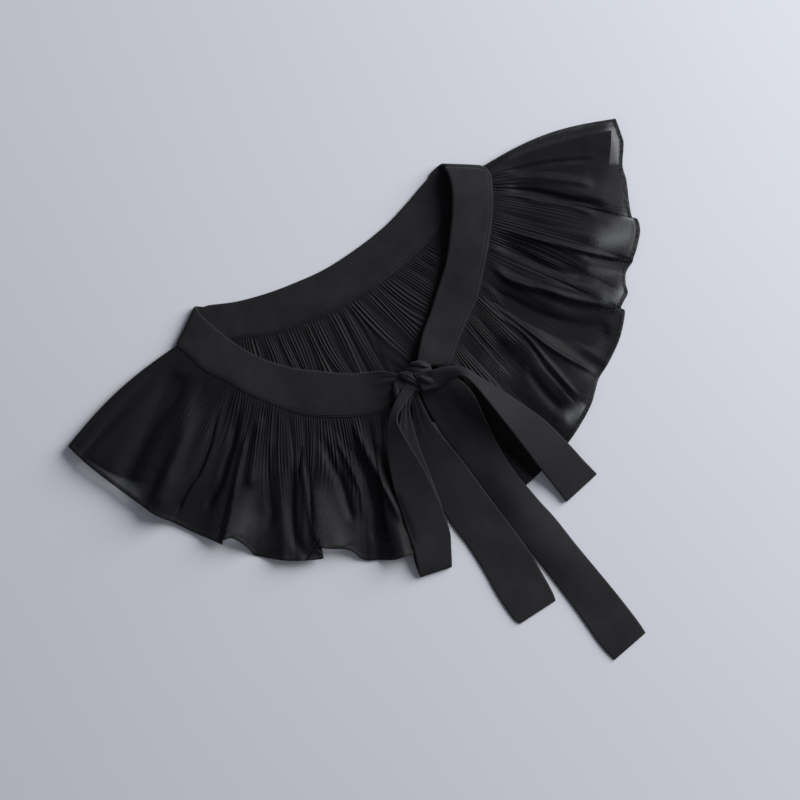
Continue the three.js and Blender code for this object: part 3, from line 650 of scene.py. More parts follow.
@dataclass(frozen=True)
class Fold:
    """A fold line in plan: its ends, its direction, the side on which both layers lie, and the shift
    along it for each millimetre of travel, for a strip that meets it at an angle."""

    start: np.ndarray
    end: np.ndarray
    along: np.ndarray
    inward: np.ndarray
    slant: float

    @classmethod
    def of(
        cls, start: Sequence[float], end: Sequence[float], inside: Sequence[float], slanted: bool
    ) -> Fold:
        """Makes a fold line.

        Args:
            start: Its one end in plan.
            end: Its other end in plan.
            inside: A plan point on the side on which the layers lie.
            slanted: Whether the cloth runs towards that point instead of straight across the line.

        Returns:
            The fold line.
        """
        first, last, inner = (np.array([*p[:2], 0.0]) for p in (start, end, inside))
        direction = unit(last - first)
        inward = np.array([-direction[1], direction[0], 0.0])
        if inward @ (inner - first) < 0:
            inward = -inward
        run = inner - (first + last) / 2
        slant = float(run @ direction / (run @ inward)) if slanted else 0.0
        return cls(first, last, direction, inward, slant)

    def points(self, share: float, travel: np.ndarray, radius: float, lowest: float) -> np.ndarray:
        """Finds points of cloth that goes round the fold.

        Args:
            share: Place between the line's ends, 0 to 1.
            travel: Distance along the cloth from the outermost line, above 0 on the upper layer.
            radius: Radius of the fold.
            lowest: Height of the lower layer.

        Returns:
            One point for each travel.
        """
        travel = np.atleast_1d(np.asarray(travel, float))
        bend = np.clip(travel / radius, -math.pi / 2, math.pi / 2)
        inset = radius * (1 - np.cos(bend)) + (np.abs(travel) - np.abs(bend * radius))
        points = lerp(self.start, self.end, share) + np.outer(inset, self.inward)
        points = points + np.outer(self.slant * travel, self.along)
        points[:, 2] = lowest + radius * (1 + np.sin(bend))
        return points


@dataclass(frozen=True)
class StripShape:
    """How a folded strip of cloth is made up across its width."""

    thick: float
    rounding: float
    across: int = 28
    flange: float = 0.0
    flange_thick: float = 0.0

    def grid(self, left: np.ndarray, right: np.ndarray) -> tuple[np.ndarray, np.ndarray, np.ndarray]:
        """Lays a grid between a strip's edges, closer together at the edges.

        Args:
            left: The left edge, point by point.
            right: The right edge.

        Returns:
            The grid's points, and for each its distance along the strip and share of the width.
        """
        shares = 0.5 - 0.5 * np.cos(np.linspace(0, math.pi, self.across + 1))
        points = left[:, None] + (right - left)[:, None] * shares[None, :, None]
        return points, *np.meshgrid(along((left + right) / 2), shares, indexing="ij")

    def half_thickness(self, from_left: np.ndarray, from_right: np.ndarray) -> np.ndarray:
        """Finds half the strip's thickness, rounded off at its edges.

        Args:
            from_left: Distance of each point from the left edge.
            from_right: Its distance from the right edge, where a flange is thinner.

        Returns:
            Half the thickness at each point.
        """
        full = np.full(from_left.shape, self.thick / 2)
        if self.flange:
            thin = 1 - smoothstep(from_right, self.flange - 0.5, self.flange + 0.7)
            full = lerp(full, self.flange_thick / 2, thin)
        edge = np.clip(np.minimum(from_left, from_right) / self.rounding, 0, 1)
        return full * np.sqrt(1 - (1 - edge) ** 2)


def build_strip(
    name: str,
    left: np.ndarray,
    right: np.ndarray,
    shape: StripShape,
    finish: bpy.types.Material,
    relief: np.ndarray,
) -> bpy.types.Object:
    """Makes a folded strip as a closed shell between its two edges.

    Args:
        name: The piece's name.
        left: Its left edge, point by point.
        right: Its right edge.
        shape: Its make-up across.
        finish: Its material.
        relief: How far each point of its middle is moved along the strip's normal.

    Returns:
        The strip.
    """
    middle, travelled, shares = shape.grid(left, right)
    middle = middle + grid_normals(middle) * relief[..., None]
    normals = grid_normals(middle)
    width = np.linalg.norm(right - left, axis=1)[:, None]
    half = shape.half_thickness(width * shares, width * (1 - shares))[..., None]
    ring = np.concatenate([middle + normals * half, (middle - normals * half)[:, ::-1]], axis=1)
    thread = np.stack([travelled, width * (1 - shares), 0 * shares], axis=-1)
    thread = np.concatenate([thread, thread[:, ::-1]], axis=1).reshape(-1, 3)
    rows, columns = ring.shape[:2]
    faces = grid_faces(rows, columns, closed=True)
    for row, turned in ((0, False), (rows - 1, True)):
        base = row * columns
        for k in range(columns // 2 - 1):
            cap = (base + k, base + columns - 1 - k, base + columns - 2 - k, base + k + 1)
            faces.append(cap[::-1] if turned else cap)
    return new_piece(name, ring.reshape(-1, 3), faces, finish, {"thread": thread})


# ------------------------------------------------------------------------------- finishes


def linear(colour: str) -> tuple[float, float, float, float]:
    """Turns an sRGB hex colour to linear red, green, blue and an alpha of 1.

    Args:
        colour: The colour, such as "#1a1a1d".

    Returns:
        The linear colour.
    """
    parts = [int(colour.lstrip("#")[k:k + 2], 16) / 255 for k in (0, 2, 4)]
    red, green, blue = (c / 12.92 if c <= 0.04045 else ((c + 0.055) / 1.055) ** 2.4 for c in parts)
    return red, green, blue, 1.0


def add_node(
    tree: bpy.types.NodeTree,
    kind: str,
    settings: dict[str, Any] | None = None,
    values: dict[Any, Any] | None = None,
    links: dict[Any, bpy.types.NodeSocket] | None = None,
) -> bpy.types.Node:
    """Adds one node to a material.

    Args:
        tree: The material's node tree.
        kind: The node's type, without the "ShaderNode" that each one starts with.
        settings: Its own settings, by name.
        values: Values of its inputs, by name or number.
        links: Outputs that feed its inputs, by name or number.

    Returns:
        The node.
    """
    node = tree.nodes.new("ShaderNode" + kind)
    for name, value in (settings or {}).items():
        setattr(node, name, value)
    for socket, value in (values or {}).items():
        node.inputs[socket].default_value = value
    for socket, output in (links or {}).items():
        tree.links.new(output, node.inputs[socket])
    return node


def new_material(name: str) -> tuple[bpy.types.Material, bpy.types.NodeTree]:
    """Makes an empty node material.

    Args:
        name: The material's name.

    Returns:
        The material and its node tree.
    """
    material = bpy.data.materials.new(name)
    material.use_nodes = True
    material.node_tree.nodes.clear()
    return material, material.node_tree


@dataclass(frozen=True)
class PolyesterCrepe:
    """Dull black polyester crepe, piece dyed and pressed: hard-twisted yarns give the eye a matt,
    faintly pebbled face with a soft greyish bloom where it turns away."""

    name: str
    colour: str
    worn_colour: str
    stitched: bool = False
    # The crepe's pebble is about 0.4 mm. It is drawn 0.9 mm wide, as fine as shows.
    pebble_mm: float = 0.9
    pebble_height_mm: float = 0.15
    # Wavy shade of the pressed cloth, about the width of an iron's pass.
    cloud_mm: float = 26.0
    stitch_mm: float = 2.4
    stitch_inset_mm: float = 1.6
    stitch_reach_mm: float = 0.5
    stitch_depth_mm: float = 0.6
    roughness: float = 0.82
    ior: float = 1.45
    specular: float = 0.22
    sheen: float = 0.12
    sheen_roughness: float = 0.45
    sheen_colour: str = "#c8c8d2"

    def build(self) -> bpy.types.Material:
        """Makes the material.

        Returns:
            The material.
        """
        material, tree = new_material(self.name)
        place = {"Vector": add_node(tree, "TexCoord").outputs["Object"]}
        cloud = add_node(
            tree, "TexNoise", None,
            {"Scale": 1 / (self.cloud_mm * MM), "Detail": 5.0, "Roughness": 0.62}, place)
        shade = add_node(
            tree, "MapRange", None, {"From Min": 0.3, "From Max": 0.7}, {"Value": cloud.outputs["Fac"]})
        colour = add_node(
            tree, "Mix", {"data_type": "RGBA"}, {6: linear(self.colour), 7: linear(self.worn_colour)},
            {0: shade.outputs["Result"]})
        pebble = add_node(
            tree, "TexNoise", None,
            {"Scale": 1 / (self.pebble_mm * MM), "Detail": 2.0, "Roughness": 0.6}, place)
        bump = add_node(
            tree, "Bump", None, {"Strength": 0.35, "Distance": self.pebble_height_mm * MM},
            {"Height": pebble.outputs["Fac"]})
        normal = bump.outputs["Normal"]
        if self.stitched:
            normal = self.stitch_bump(tree, normal)
        shader = add_node(
            tree, "BsdfPrincipled", None,
            {"Roughness": self.roughness, "IOR": self.ior, "Specular IOR Level": self.specular,
             "Sheen Weight": self.sheen, "Sheen Roughness": self.sheen_roughness,
             "Sheen Tint": linear(self.sheen_colour)},
            {"Base Color": colour.outputs[2], "Normal": normal})
        add_node(tree, "OutputMaterial", links={"Surface": shader.outputs["BSDF"]})
        return material

    def stitch_bump(self, tree: bpy.types.NodeTree, normal: bpy.types.NodeSocket) -> bpy.types.NodeSocket:
        """Adds the row of edge stitches beside the seam edge.

        Args:
            tree: The material's node tree.
            normal: The normal that the stitches are pressed into.

        Returns:
            The normal with the stitches.
        """
        thread = add_node(tree, "Attribute", {"attribute_name": "thread"})
        split = add_node(tree, "SeparateXYZ", links={"Vector": thread.outputs["Vector"]})
        off_line = add_node(
            tree, "Math", {"operation": "SUBTRACT"}, {1: self.stitch_inset_mm}, {0: split.outputs["Y"]})
        away = add_node(tree, "Math", {"operation": "ABSOLUTE"}, links={0: off_line.outputs[0]})
        row = add_node(
            tree, "MapRange", None,
            {"From Min": 0.0, "From Max": self.stitch_reach_mm, "To Min": 1.0, "To Max": 0.0},
            {"Value": away.outputs[0]})
        phase = add_node(
            tree, "Math", {"operation": "MULTIPLY"}, {1: 2 * math.pi / self.stitch_mm},
            {0: split.outputs["X"]})
        swing = add_node(tree, "Math", {"operation": "SINE"}, links={0: phase.outputs[0]})
        dash = add_node(
            tree, "MapRange", None, {"From Min": -0.6, "From Max": 0.2, "To Min": 0.7, "To Max": 1.0},
            {"Value": swing.outputs[0]})
        groove = add_node(
            tree, "Math", {"operation": "MULTIPLY"},
            links={0: row.outputs["Result"], 1: dash.outputs["Result"]})
        pressed = add_node(
            tree, "Bump", {"invert": True}, {"Strength": 0.8, "Distance": self.stitch_depth_mm * MM},
            {"Height": groove.outputs[0], "Normal": normal})
        return pressed.outputs["Normal"]


@dataclass(frozen=True)
class CrinkleChiffon:
    """Black polyester chiffon, a plain weave of hard-twisted filament, crinkled and gathered: one
    layer lets four tenths of the light through, so it looks grey alone and black where gathered."""

    name: str
    colour: str
    # Threads lie 0.3 mm apart. The weave is drawn 0.9 mm wide, as fine as shows.
    weave_mm: float = 0.9
    weave_height_mm: float = 0.1
    uneven: float = 0.07
    roughness: float = 0.6
    ior: float = 1.5
    specular: float = 0.12

    def build(self) -> bpy.types.Material:
        """Makes the material.

        Returns:
            The material.
        """
        material, tree = new_material(self.name)
        place = {"Vector": add_node(tree, "TexCoord").outputs["Object"]}
        cover = add_node(tree, "Attribute", {"attribute_name": "cover"})
        grain = add_node(tree, "TexNoise", None, {"Scale": 1 / (self.weave_mm * MM), "Detail": 1.0}, place)
        uneven = add_node(
            tree, "MapRange", None,
            {"From Min": 0.25, "From Max": 0.75, "To Min": -self.uneven, "To Max": self.uneven},
            {"Value": grain.outputs["Fac"]})
        alpha = add_node(
            tree, "Math", {"operation": "ADD", "use_clamp": True},
            links={0: cover.outputs["Fac"], 1: uneven.outputs["Result"]})
        bump = add_node(
            tree, "Bump", None, {"Strength": 0.25, "Distance": self.weave_height_mm * MM},
            {"Height": grain.outputs["Fac"]})
        shader = add_node(
            tree, "BsdfPrincipled", None,
            {"Base Color": linear(self.colour), "Roughness": self.roughness, "IOR": self.ior,
             "Specular IOR Level": self.specular},
            {"Alpha": alpha.outputs[0], "Normal": bump.outputs["Normal"]})
        add_node(tree, "OutputMaterial", links={"Surface": shader.outputs["BSDF"]})
        return material


@dataclass(frozen=True)
class PaintedBoard:
    """Matt pale board that the collar lies on: a smooth, faintly uneven coat of paint."""

    name: str
    colour: str
    shade_colour: str
    roughness: float = 0.95
    specular: float = 0.1
    # The coat's unevenness, about two rollers wide.
    cloud_mm: float = 400.0

    def build(self) -> bpy.types.Material:
        """Makes the material.

        Returns:
            The material.
        """
        material, tree = new_material(self.name)
        place = {"Vector": add_node(tree, "TexCoord").outputs["Object"]}
        cloud = add_node(tree, "TexNoise", None, {"Scale": 1 / (self.cloud_mm * MM), "Detail": 2.0}, place)
        colour = add_node(
            tree, "Mix", {"data_type": "RGBA"}, {6: linear(self.colour), 7: linear(self.shade_colour)},
            {0: cloud.outputs["Fac"]})
        shader = add_node(
            tree, "BsdfPrincipled", None,
            {"Roughness": self.roughness, "Specular IOR Level": self.specular},
            {"Base Color": colour.outputs[2]})
        add_node(tree, "OutputMaterial", links={"Surface": shader.outputs["BSDF"]})
        return material


# ------------------------------------------------------------------------------- the neckband


@dataclass
class Neckband:
    """The folded neckband, one strip from the knot round both shoulders and back to the knot."""

    finish: bpy.types.Material
    shape: StripShape = StripShape(thick=1.9, rounding=1.1, flange=2.0, flange_thick=1.1)
    tables: dict[Side, Table] = field(
        default_factory=lambda: {Side.LEFT: LEFT_BAND, Side.RIGHT: RIGHT_BAND})
    fold_radius: dict[Side, float] = field(default_factory=lambda: {Side.LEFT: 1.5, Side.RIGHT: 2.8})
    cut_width: float = 27.0
    lowest: float = 1.0
    # The strip goes on this far under each shoulder, and its tables' rows near the fold are left out.
    flap: float = 2.4
    short_of_fold: float = 0.5
    clear_of_fold: float = 0.75
    step: float = 0.1
    fold_points: int = 12
    root_points: int = 8
    seam_points: int = 400
    seed: int = 11
    ripple: float = 0.22
    ripple_reach: tuple[float, float] = (14.0, 0.6)
    # Lengthwise folds at the two ends: how far from the knot they reach, then the height and number
    # of the broad folds and of the fine ones.
    bunch_from: float = 4.0
    bunch_reach: tuple[float, float] = (26.0, 16.0)
    bunch_height: tuple[float, float] = (0.9, 0.35)
    bunch_count: tuple[float, float] = (3.2, 6.7)

    def shoulder(self, side: Side) -> Fold:
        """The fold line of the band at one shoulder, from neck edge to seam edge."""
        neck, seam = (self.tables[side].columns(f"{edge}X {edge}Y") for edge in ("neck", "seam"))
        return Fold.of(neck[-1], seam[-1], (neck[-2] + seam[-2]) / 2, slanted=True)

    def front_edges(self, side: Side) -> Edges:
        """Finds the edges of one front half, from the knot to just before the shoulder fold.

        Args:
            side: The front half.

        Returns:
            Its neck edge and its seam edge.
        """
        rows = self.tables[side]
        place = np.arange(0, rows.last - self.short_of_fold, self.step)
        edges = [rows.read(f"{edge}X {edge}Y {edge}Z", place) for edge in ("neck", "seam")]
        if side is Side.RIGHT:
            steps = np.linspace(0, 1, self.root_points, endpoint=False)[:, None]
            roots = [lerp(root, edge[0], steps) for root, edge in zip(RIGHT_ROOT, edges)]
            edges = [np.concatenate(parts) for parts in zip(roots, edges)]
        return edges[0], edges[1]

    def fold_edges(self, side: Side) -> Edges:
        """Finds the edges round one shoulder fold, from the upper layer to the lower one.

        Args:
            side: The front half that the fold belongs to.

        Returns:
            The neck edge and the seam edge.
        """
        radius = self.fold_radius[side]
        half = radius * math.pi / 2
        travel = np.concatenate([np.linspace(half, -half, self.fold_points), [-half - self.flap]])
        neck, seam = (self.shoulder(side).points(share, travel, radius, self.lowest) for share in (0, 1))
        return neck, seam

    def back_edges(self) -> Edges:
        """Finds the edges of the back half, from the left shoulder to the right one.

        Returns:
            The neck edge and the seam edge.
        """
        place = np.arange(self.clear_of_fold, BACK_BAND.last - self.clear_of_fold + 0.01, self.step)
        neck, seam = (BACK_BAND.read(f"{edge}X {edge}Y", place) for edge in ("neck", "seam"))
        height = np.full(len(place), self.lowest)
        return np.column_stack([neck, height]), np.column_stack([seam, height])

    def edges(self) -> Edges:
        """Joins the edges of the whole band, from the knot round to the knot.

        Returns:
            The neck edge and the seam edge.
        """
        parts = [self.front_edges(Side.LEFT), self.fold_edges(Side.LEFT), self.back_edges()]
        for pair in (self.fold_edges(Side.RIGHT), self.front_edges(Side.RIGHT)):
            parts.append((pair[0][::-1], pair[1][::-1]))
        return np.concatenate([part[0] for part in parts]), np.concatenate([part[1] for part in parts])

    def seam(self, side: Side | None) -> np.ndarray:
        """Finds the seam edge that a stretch of ruffle is sewn to.

        Args:
            side: The front half, or None for the back half.

        Returns:
            The edge's points, from the knot to the fold line, or from the left shoulder to the right.
        """
        if side is None:
            ends = [self.fold_edges(s)[1][-1:] for s in (Side.LEFT, Side.RIGHT)]
            return np.concatenate([ends[0], self.back_edges()[1], ends[1]])
        rows = self.tables[side]
        return rows.read("seamX seamY seamZ", np.linspace(0, rows.last, self.seam_points))

    def bunching(self, travelled: np.ndarray, across: np.ndarray) -> np.ndarray:
        """Shapes the lengthwise folds where the band's ends are drawn into the knot.

        Args:
            travelled: Distance of each point along the band.
            across: Its share of the band's width.

        Returns:
            The height of the folds at each point.
        """
        broad, fine = self.bunch_height
        broad_count, fine_count = self.bunch_count
        folds = broad * wave(broad_count * across + 0.15) * arch(across)
        folds += fine * np.sin(2 * math.pi * fine_count * across + 1.0)
        total = 0 * across
        for start, reach in zip((travelled, travelled[-1] - travelled), self.bunch_reach):
            total += (1 - smoothstep(start, self.bunch_from, reach)) * folds
        return total

    def build(self) -> bpy.types.Object:
        """Makes the band.

        Returns:
            The band, as one piece.
        """
        neck, seam = self.edges()
        _, travelled, across = self.shape.grid(neck, seam)
        relief = self.ripple * Wander(self.seed, self.ripple_reach).at(travelled, across)
        relief += self.bunching(travelled, across)
        band = build_strip("neckband", neck, seam, self.shape, self.finish, relief)
        dress(band, Slot.BAND, "band_left", "band_back", "band_right")
        return band


# ------------------------------------------------------------------------------- the ruffle


@dataclass
class Crinkle:
    """The gathers of the ruffle: fine crinkles in uneven bundles with gaps between, then wider folds."""

    seed: int
    pitch: float = 1.6
    height: float = 0.33
    bundle_pitch: float = 10.0
    bundle_height: float = 0.45
    fold_pitch: float = 17.0
    fold_height: float = 1.0
    # How far the crinkles lean along the seam on their way down, and over what distance that changes.
    lean: float = 7.0
    lean_reach: tuple[float, float] = (12.0, 0.9)
    # How much lower the fine crinkles are in the gaps between their groups, and near the hem.
    grouped: float = 0.8
    faded: float = 0.92
    # Distance along the seam, and share of the way down, over which each uneven thing changes: how
    # the crinkles crowd, how they drift, how high they are, where the bundles lie, and the groups.
    crowd_reach: tuple[float] = (3.7,)
    drift_reach: tuple[float, float] = (6.5, 0.35)
    uneven_reach: tuple[float, float] = (4.3, 0.4)
    broad_reach: tuple[float] = (9.0,)
    group_reach: tuple[float, float] = (10.0, 0.8)
    # Shares of the way down over which the crinkles fade, the bundles grow and fade, the folds grow.
    crinkles_fade: tuple[float, float] = (0.2, 0.8)
    bundles_grow: tuple[float, float] = (0.0, 0.12)
    bundles_fade: tuple[float, float] = (0.35, 0.95)
    folds_grow: tuple[float, float] = (0.05, 0.7)

    def relief(self, seam_mm: np.ndarray, share: np.ndarray) -> np.ndarray:
        """Shapes the gathers.

        Args:
            seam_mm: Distance along the seam of each column.
            share: How far down the ruffle each row is, 0 at the seam and 1 at the hem.

        Returns:
            Heights, a row for each column of the ruffle.
        """
        along_seam, down = np.meshgrid(seam_mm, share, indexing="ij")
        run = along_seam + self.lean * Wander(self.seed, self.lean_reach).at(along_seam, down) * down
        crowd = Wander(self.seed + 1, self.crowd_reach).at(run)
        drift = Wander(self.seed + 2, self.drift_reach).at(run, down)
        uneven = 0.5 + 0.5 * Wander(self.seed + 4, self.uneven_reach).at(run, down)
        broad = Wander(self.seed + 5, self.broad_reach).at(run)
        group = smoothstep(Wander(self.seed + 6, self.group_reach).at(run, down), -0.45, 0.35)
        bundle = np.abs(np.sin(math.pi * run / self.bundle_pitch + 1.6 * broad + 0.5 * drift))
        bundle = 2 * bundle ** 0.8 - 1
        fine = np.sin(2 * math.pi * run / self.pitch + 2.4 * crowd + 1.6 * drift)
        folds = np.sin(2 * math.pi * run / self.fold_pitch + 1.5 * broad + 0.6 * drift)
        fine_height = self.height * (1 - self.faded * smoothstep(down, *self.crinkles_fade))
        fine_height = fine_height * (0.25 + 0.75 * smoothstep(bundle, -0.3, 0.7))
        fine_height = fine_height * (1 - self.grouped * (1 - group)) * (0.5 + uneven)
        bundle_fade = smoothstep(down, *self.bundles_grow)
        bundle_fade = bundle_fade * (1 - 0.75 * smoothstep(down, *self.bundles_fade))
        total = fine_height * fine
        total += self.bundle_height * bundle_fade * (0.4 + 0.6 * uneven) * bundle
        total += self.fold_height * smoothstep(down, *self.folds_grow) * (0.35 + 0.65 * uneven) * folds
        return total * (0.35 + 0.65 * smoothstep(down, 0, 0.03))


@dataclass(frozen=True)
class Layout:
    """A ruffle's grid in plan, a column for each place along the seam and a row for each way down."""

    at: np.ndarray
    seam_mm: np.ndarray
    seam_points: np.ndarray
    stations: np.ndarray
    share: np.ndarray
    points: np.ndarray


@dataclass
class Ruffle:
    """One stretch of the chiffon ruffle, a single sheet from the band's seam to its rolled hem."""

    name: str
    finish: bpy.types.Material
    band: Neckband
    folds: Table
    crinkle: Crinkle
    open_places: tuple[Mark, ...]
    side: Side | None = None
    # Points along each crinkle's width, and the step along the hem.
    per_crinkle: int = 7
    hem_step: float = 1.2
    body_rows: int = 44
    body_end: float = 0.958
    hem_rows: tuple[float, ...] = (0.966, 0.973, 0.98, 0.987, 0.994, 1.0)
    # Height at which the sheet rests on what is under it, and the lowest that any point lies.
    rests_at: float = 0.6
    lowest: float = 0.25
    depth: float = 91.0
    hem_depth: float = 2.6
    hem_roll: float = 0.3
    tuck: float = 0.4
    # The cut: its depth with the hem, and its length as a multiple of the seam that it is gathered to.
    cut_depth: float = 94.0
    fullness: float = 1.85
    # What one layer covers, then in layers: the gathers, more of them at the seam, the thinnest
    # opened place and the hem. A steep wall counts as more layers, down to this slope.
    bare_cover: float = 0.6
    dense: float = 3.4
    at_seam: float = 1.0
    thinnest: float = 0.95
    hem_layers: float = 4.0
    steepest: float = 0.45
    fine_stations: int = 4000

    def stations(self, seam: np.ndarray) -> np.ndarray:
        """Finds places in the fold table for the columns, evenly along the seam and the hem.

        Args:
            seam: The seam edge as a polyline.

        Returns:
            Rising places in the table.
        """
        fine = np.linspace(0, self.folds.last, self.fine_stations)
        travelled = self.folds.read("at", fine)[:, 0] * along(seam)[-1]
        hem = along(self.folds.read("hemX hemY", fine))
        steps = np.abs(np.diff(travelled)) * self.per_crinkle / self.crinkle.pitch
        steps = steps + np.diff(hem) / self.hem_step
        count = np.concatenate([[0.0], np.cumsum(steps)])
        return np.interp(np.arange(0, count[-1]), count, fine)

    def lay_out(self, first: float, last: float) -> Layout:
        """Lays the grid out in plan, with each fold line bowed to its left.

        Args:
            first: Share of the seam after which the columns start.
            last: Share of the seam before which they end.

        Returns:
            The grid.
        """
        share = np.concatenate([np.linspace(0, self.body_end, self.body_rows), self.hem_rows])
        seam = self.band.seam(self.side)
        stations = self.stations(seam)
        at = self.folds.read("at", stations)[:, 0]
        keep = (at > first) & (at < last)
        stations, at = stations[keep], at[keep]
        seam_points = point_on(seam, at)
        hem = np.column_stack([self.folds.read("hemX hemY", stations), np.zeros(len(stations))])
        start = seam_points * [1, 1, 0]
        run = hem - start
        left = unit(np.column_stack([-run[:, 1], run[:, 0], 0 * run[:, 0]]))
        start = start - unit(run) * self.tuck
        bow = self.folds.read("bow", stations) * arch(share)[None]
        points = start[:, None] + (hem - start)[:, None] * share[None, :, None]
        points = points + left[:, None] * bow[..., None]
        return Layout(at, at * along(seam)[-1], seam_points, stations, share, points)

    def hem_profile(self, share: np.ndarray) -> np.ndarray:
        """Shapes the rolled hem.

        Args:
            share: How far down each row is.

        Returns:
            The height that the hem adds to each row.
        """
        start = 1 - self.hem_depth / self.depth
        place = np.clip((share - start) / (1 - start), 0, 1)
        return self.hem_roll * np.sqrt(np.maximum(0.0, 1 - (2 * place - 1) ** 2)) * (share > start)

    def cover(self, points: np.ndarray, share: np.ndarray) -> np.ndarray:
        """Finds how much of the light the cloth stops, more where it is gathered or steep.

        Args:
            points: The sheet's points, [column, row].
            share: How far down each row is.

        Returns:
            A share of the light for each point.
        """
        slope = np.abs(grid_normals(points)[..., 2])
        layers = self.dense + self.at_seam * (1 - share[None]) ** 1.5
        layers = layers + marked(points[..., :2], self.open_places)
        layers = np.maximum(layers, self.thinnest) / np.clip(slope, self.steepest, 1)
        start = 1 - self.hem_depth / self.depth
        hem = smoothstep(share, start - 0.004, start + 0.004)[None]
        return 1 - (1 - self.bare_cover) ** np.maximum(layers, self.hem_layers * hem)

    def sheet(self, points: np.ndarray, share: np.ndarray, under: str) -> bpy.types.Object:
        """Makes the ruffle's piece.

        Args:
            points: The sheet's points, [column, row].
            share: How far down each row is.
            under: The node or object that the sheet rests on. Not used.

        Returns:
            The piece.
        """
        facts = {"cover": self.cover(points, share).ravel()}
        faces = grid_faces(*points.shape[:2])
        piece = new_piece(f"{self.name}_sheet", points.reshape(-1, 3), faces, self.finish, facts)
        flat = (self.cut_depth * MM, self.fullness * along(self.band.seam(self.side))[-1] * MM)
        dress(piece, Slot.CHIFFON, self.name)
        LOG.info("%s: cut %.0f by %.0f mm", self.name, flat[0] / MM, flat[1] / MM)
        return piece


@dataclass
class FrontRuffle(Ruffle):
    """A front half of the ruffle, with its fold at the shoulder and a little way under it."""

    creases: tuple[Mark, ...] = ()
    calm: tuple[Mark, ...] = ()
    calmest: float = 0.85
    seam_radius: float = 1.6
    hem_radius: float = 2.4
    flap: float = 2.4
    fold_columns: int = 13
    # How much the last columns cover, where the back ruffle lies behind them.
    under_fold: int = 7
    under_fold_cover: float = 0.4
    loft: float = 0.0
    # How high the sheet lies on the back ruffle, and from where to where past its hem it sinks.
    over_back: float = 2.3
    sinks: tuple[float, float] = (-5.0, 18.0)
    settled_by: float = 0.3
    fold_starts: float = 0.93
    short_of_fold: float = 0.004
    back_hem_points: int = 160

    def past_back_hem(self, plan: np.ndarray) -> np.ndarray:
        """Measures how far plan points lie beyond the back ruffle's hem.

        Args:
            plan: Plan points, in an array of any shape.

        Returns:
            The distance for each point, below 0 inside the hem.
        """
        hem = BACK_FOLDS.read("hemX hemY", np.linspace(0, BACK_FOLDS.last, self.back_hem_points))
        away = plan.reshape(-1, 2)[:, None] - hem[None]
        distance = np.linalg.norm(away, axis=2)
        nearest = distance.argmin(1)
        run = np.gradient(hem, axis=0)[nearest]
        offset = away[np.arange(len(nearest)), nearest]
        outside = np.sign(run[:, 1] * offset[:, 0] - run[:, 0] * offset[:, 1])
        return (distance.min(1) * outside).reshape(plan.shape[:-1])

    def cover(self, points: np.ndarray, share: np.ndarray) -> np.ndarray:
        """Finds how much of the light the cloth stops, less in the columns under the fold.

        Args:
            points: The sheet's points, [column, row].
            share: How far down each row is.

        Returns:
            A share of the light for each point.
        """
        cover = super().cover(points, share)
        cover[-self.under_fold:] *= self.under_fold_cover
        return cover

    def heights(self, grid: Layout) -> np.ndarray:
        """Finds the height of the upper layer.

        Args:
            grid: The layer's grid in plan.

        Returns:
            A height for each point.
        """
        plan, share = grid.points[..., :2], grid.share
        near_fold = smoothstep(grid.at, self.fold_starts, 1)[:, None]
        crest, lift = np.maximum(self.folds.read("crest lift", grid.stations), 0).T
        over = 1 - smoothstep(self.past_back_hem(plan), *self.sinks)
        stands = (crest + self.loft)[:, None] * arch(share) + lift[:, None] * share ** 2
        resting = self.over_back * over + self.rests_at + stands
        folded = self.rests_at + 2 * lerp(self.seam_radius, self.hem_radius, share)[None]
        settled = lerp(resting, folded, near_fold)
        height = lerp(grid.seam_points[:, 2:3], settled, smoothstep(share, 0, self.settled_by)[None])
        calm = np.clip(marked(plan, self.calm), 0, self.calmest)
        relief = self.crinkle.relief(grid.seam_mm, share) * (1 - calm) + marked(plan, self.creases)
        height = height + relief * (1 - 0.8 * near_fold) + self.hem_profile(share)[None]
        return soft_floor(height, self.lowest + self.over_back * 0.75 * over, 3)

    def shoulder_grid(self, share: np.ndarray) -> np.ndarray:
        """Takes the sheet round the shoulder fold, from the upper layer to the lower one.

        Args:
            share: How far down each row is.

        Returns:
            The points, [column, row].
        """
        band_fold = self.band.shoulder(self.side)
        band_radius = self.band.fold_radius[self.side]
        hem = self.folds.columns("hemX hemY")
        line = Fold.of(band_fold.end, hem[-1], hem[-3], slanted=False)
        left = np.array([-line.along[1], line.along[0], 0.0])
        bowed = left * (self.folds.columns("bow")[-1, 0] * arch(share))[:, None]
        radius = lerp(self.seam_radius, self.hem_radius, share)
        columns = []
        turns = [(turn, 0.0) for turn in np.linspace(1, -1, self.fold_columns)]
        for turn, flap in [*turns, (-1.0, self.flap)]:
            bend = turn * math.pi / 2
            seam = band_fold.points(1, bend * band_radius - flap, band_radius, 0)[0]
            end = line.points(1, bend * self.hem_radius - flap, self.hem_radius, 0)[0]
            column = seam + (end - seam) * share[:, None] + bowed
            column[:, 2] = self.rests_at + radius * (1 + math.sin(bend))
            columns.append(column)
        return np.array(columns)

    def build(self) -> bpy.types.Object:
        """Makes the sheet.

        Returns:
            The sheet, as one piece.
        """
        seam_length = along(self.band.seam(self.side))[-1]
        grid = self.lay_out(0.0, 1 - self.seam_radius / seam_length - self.short_of_fold)
        grid.points[..., 2] = self.heights(grid)
        points = np.concatenate([grid.points, self.shoulder_grid(grid.share)])
        return self.sheet(points, grid.share, "ruffle_back")


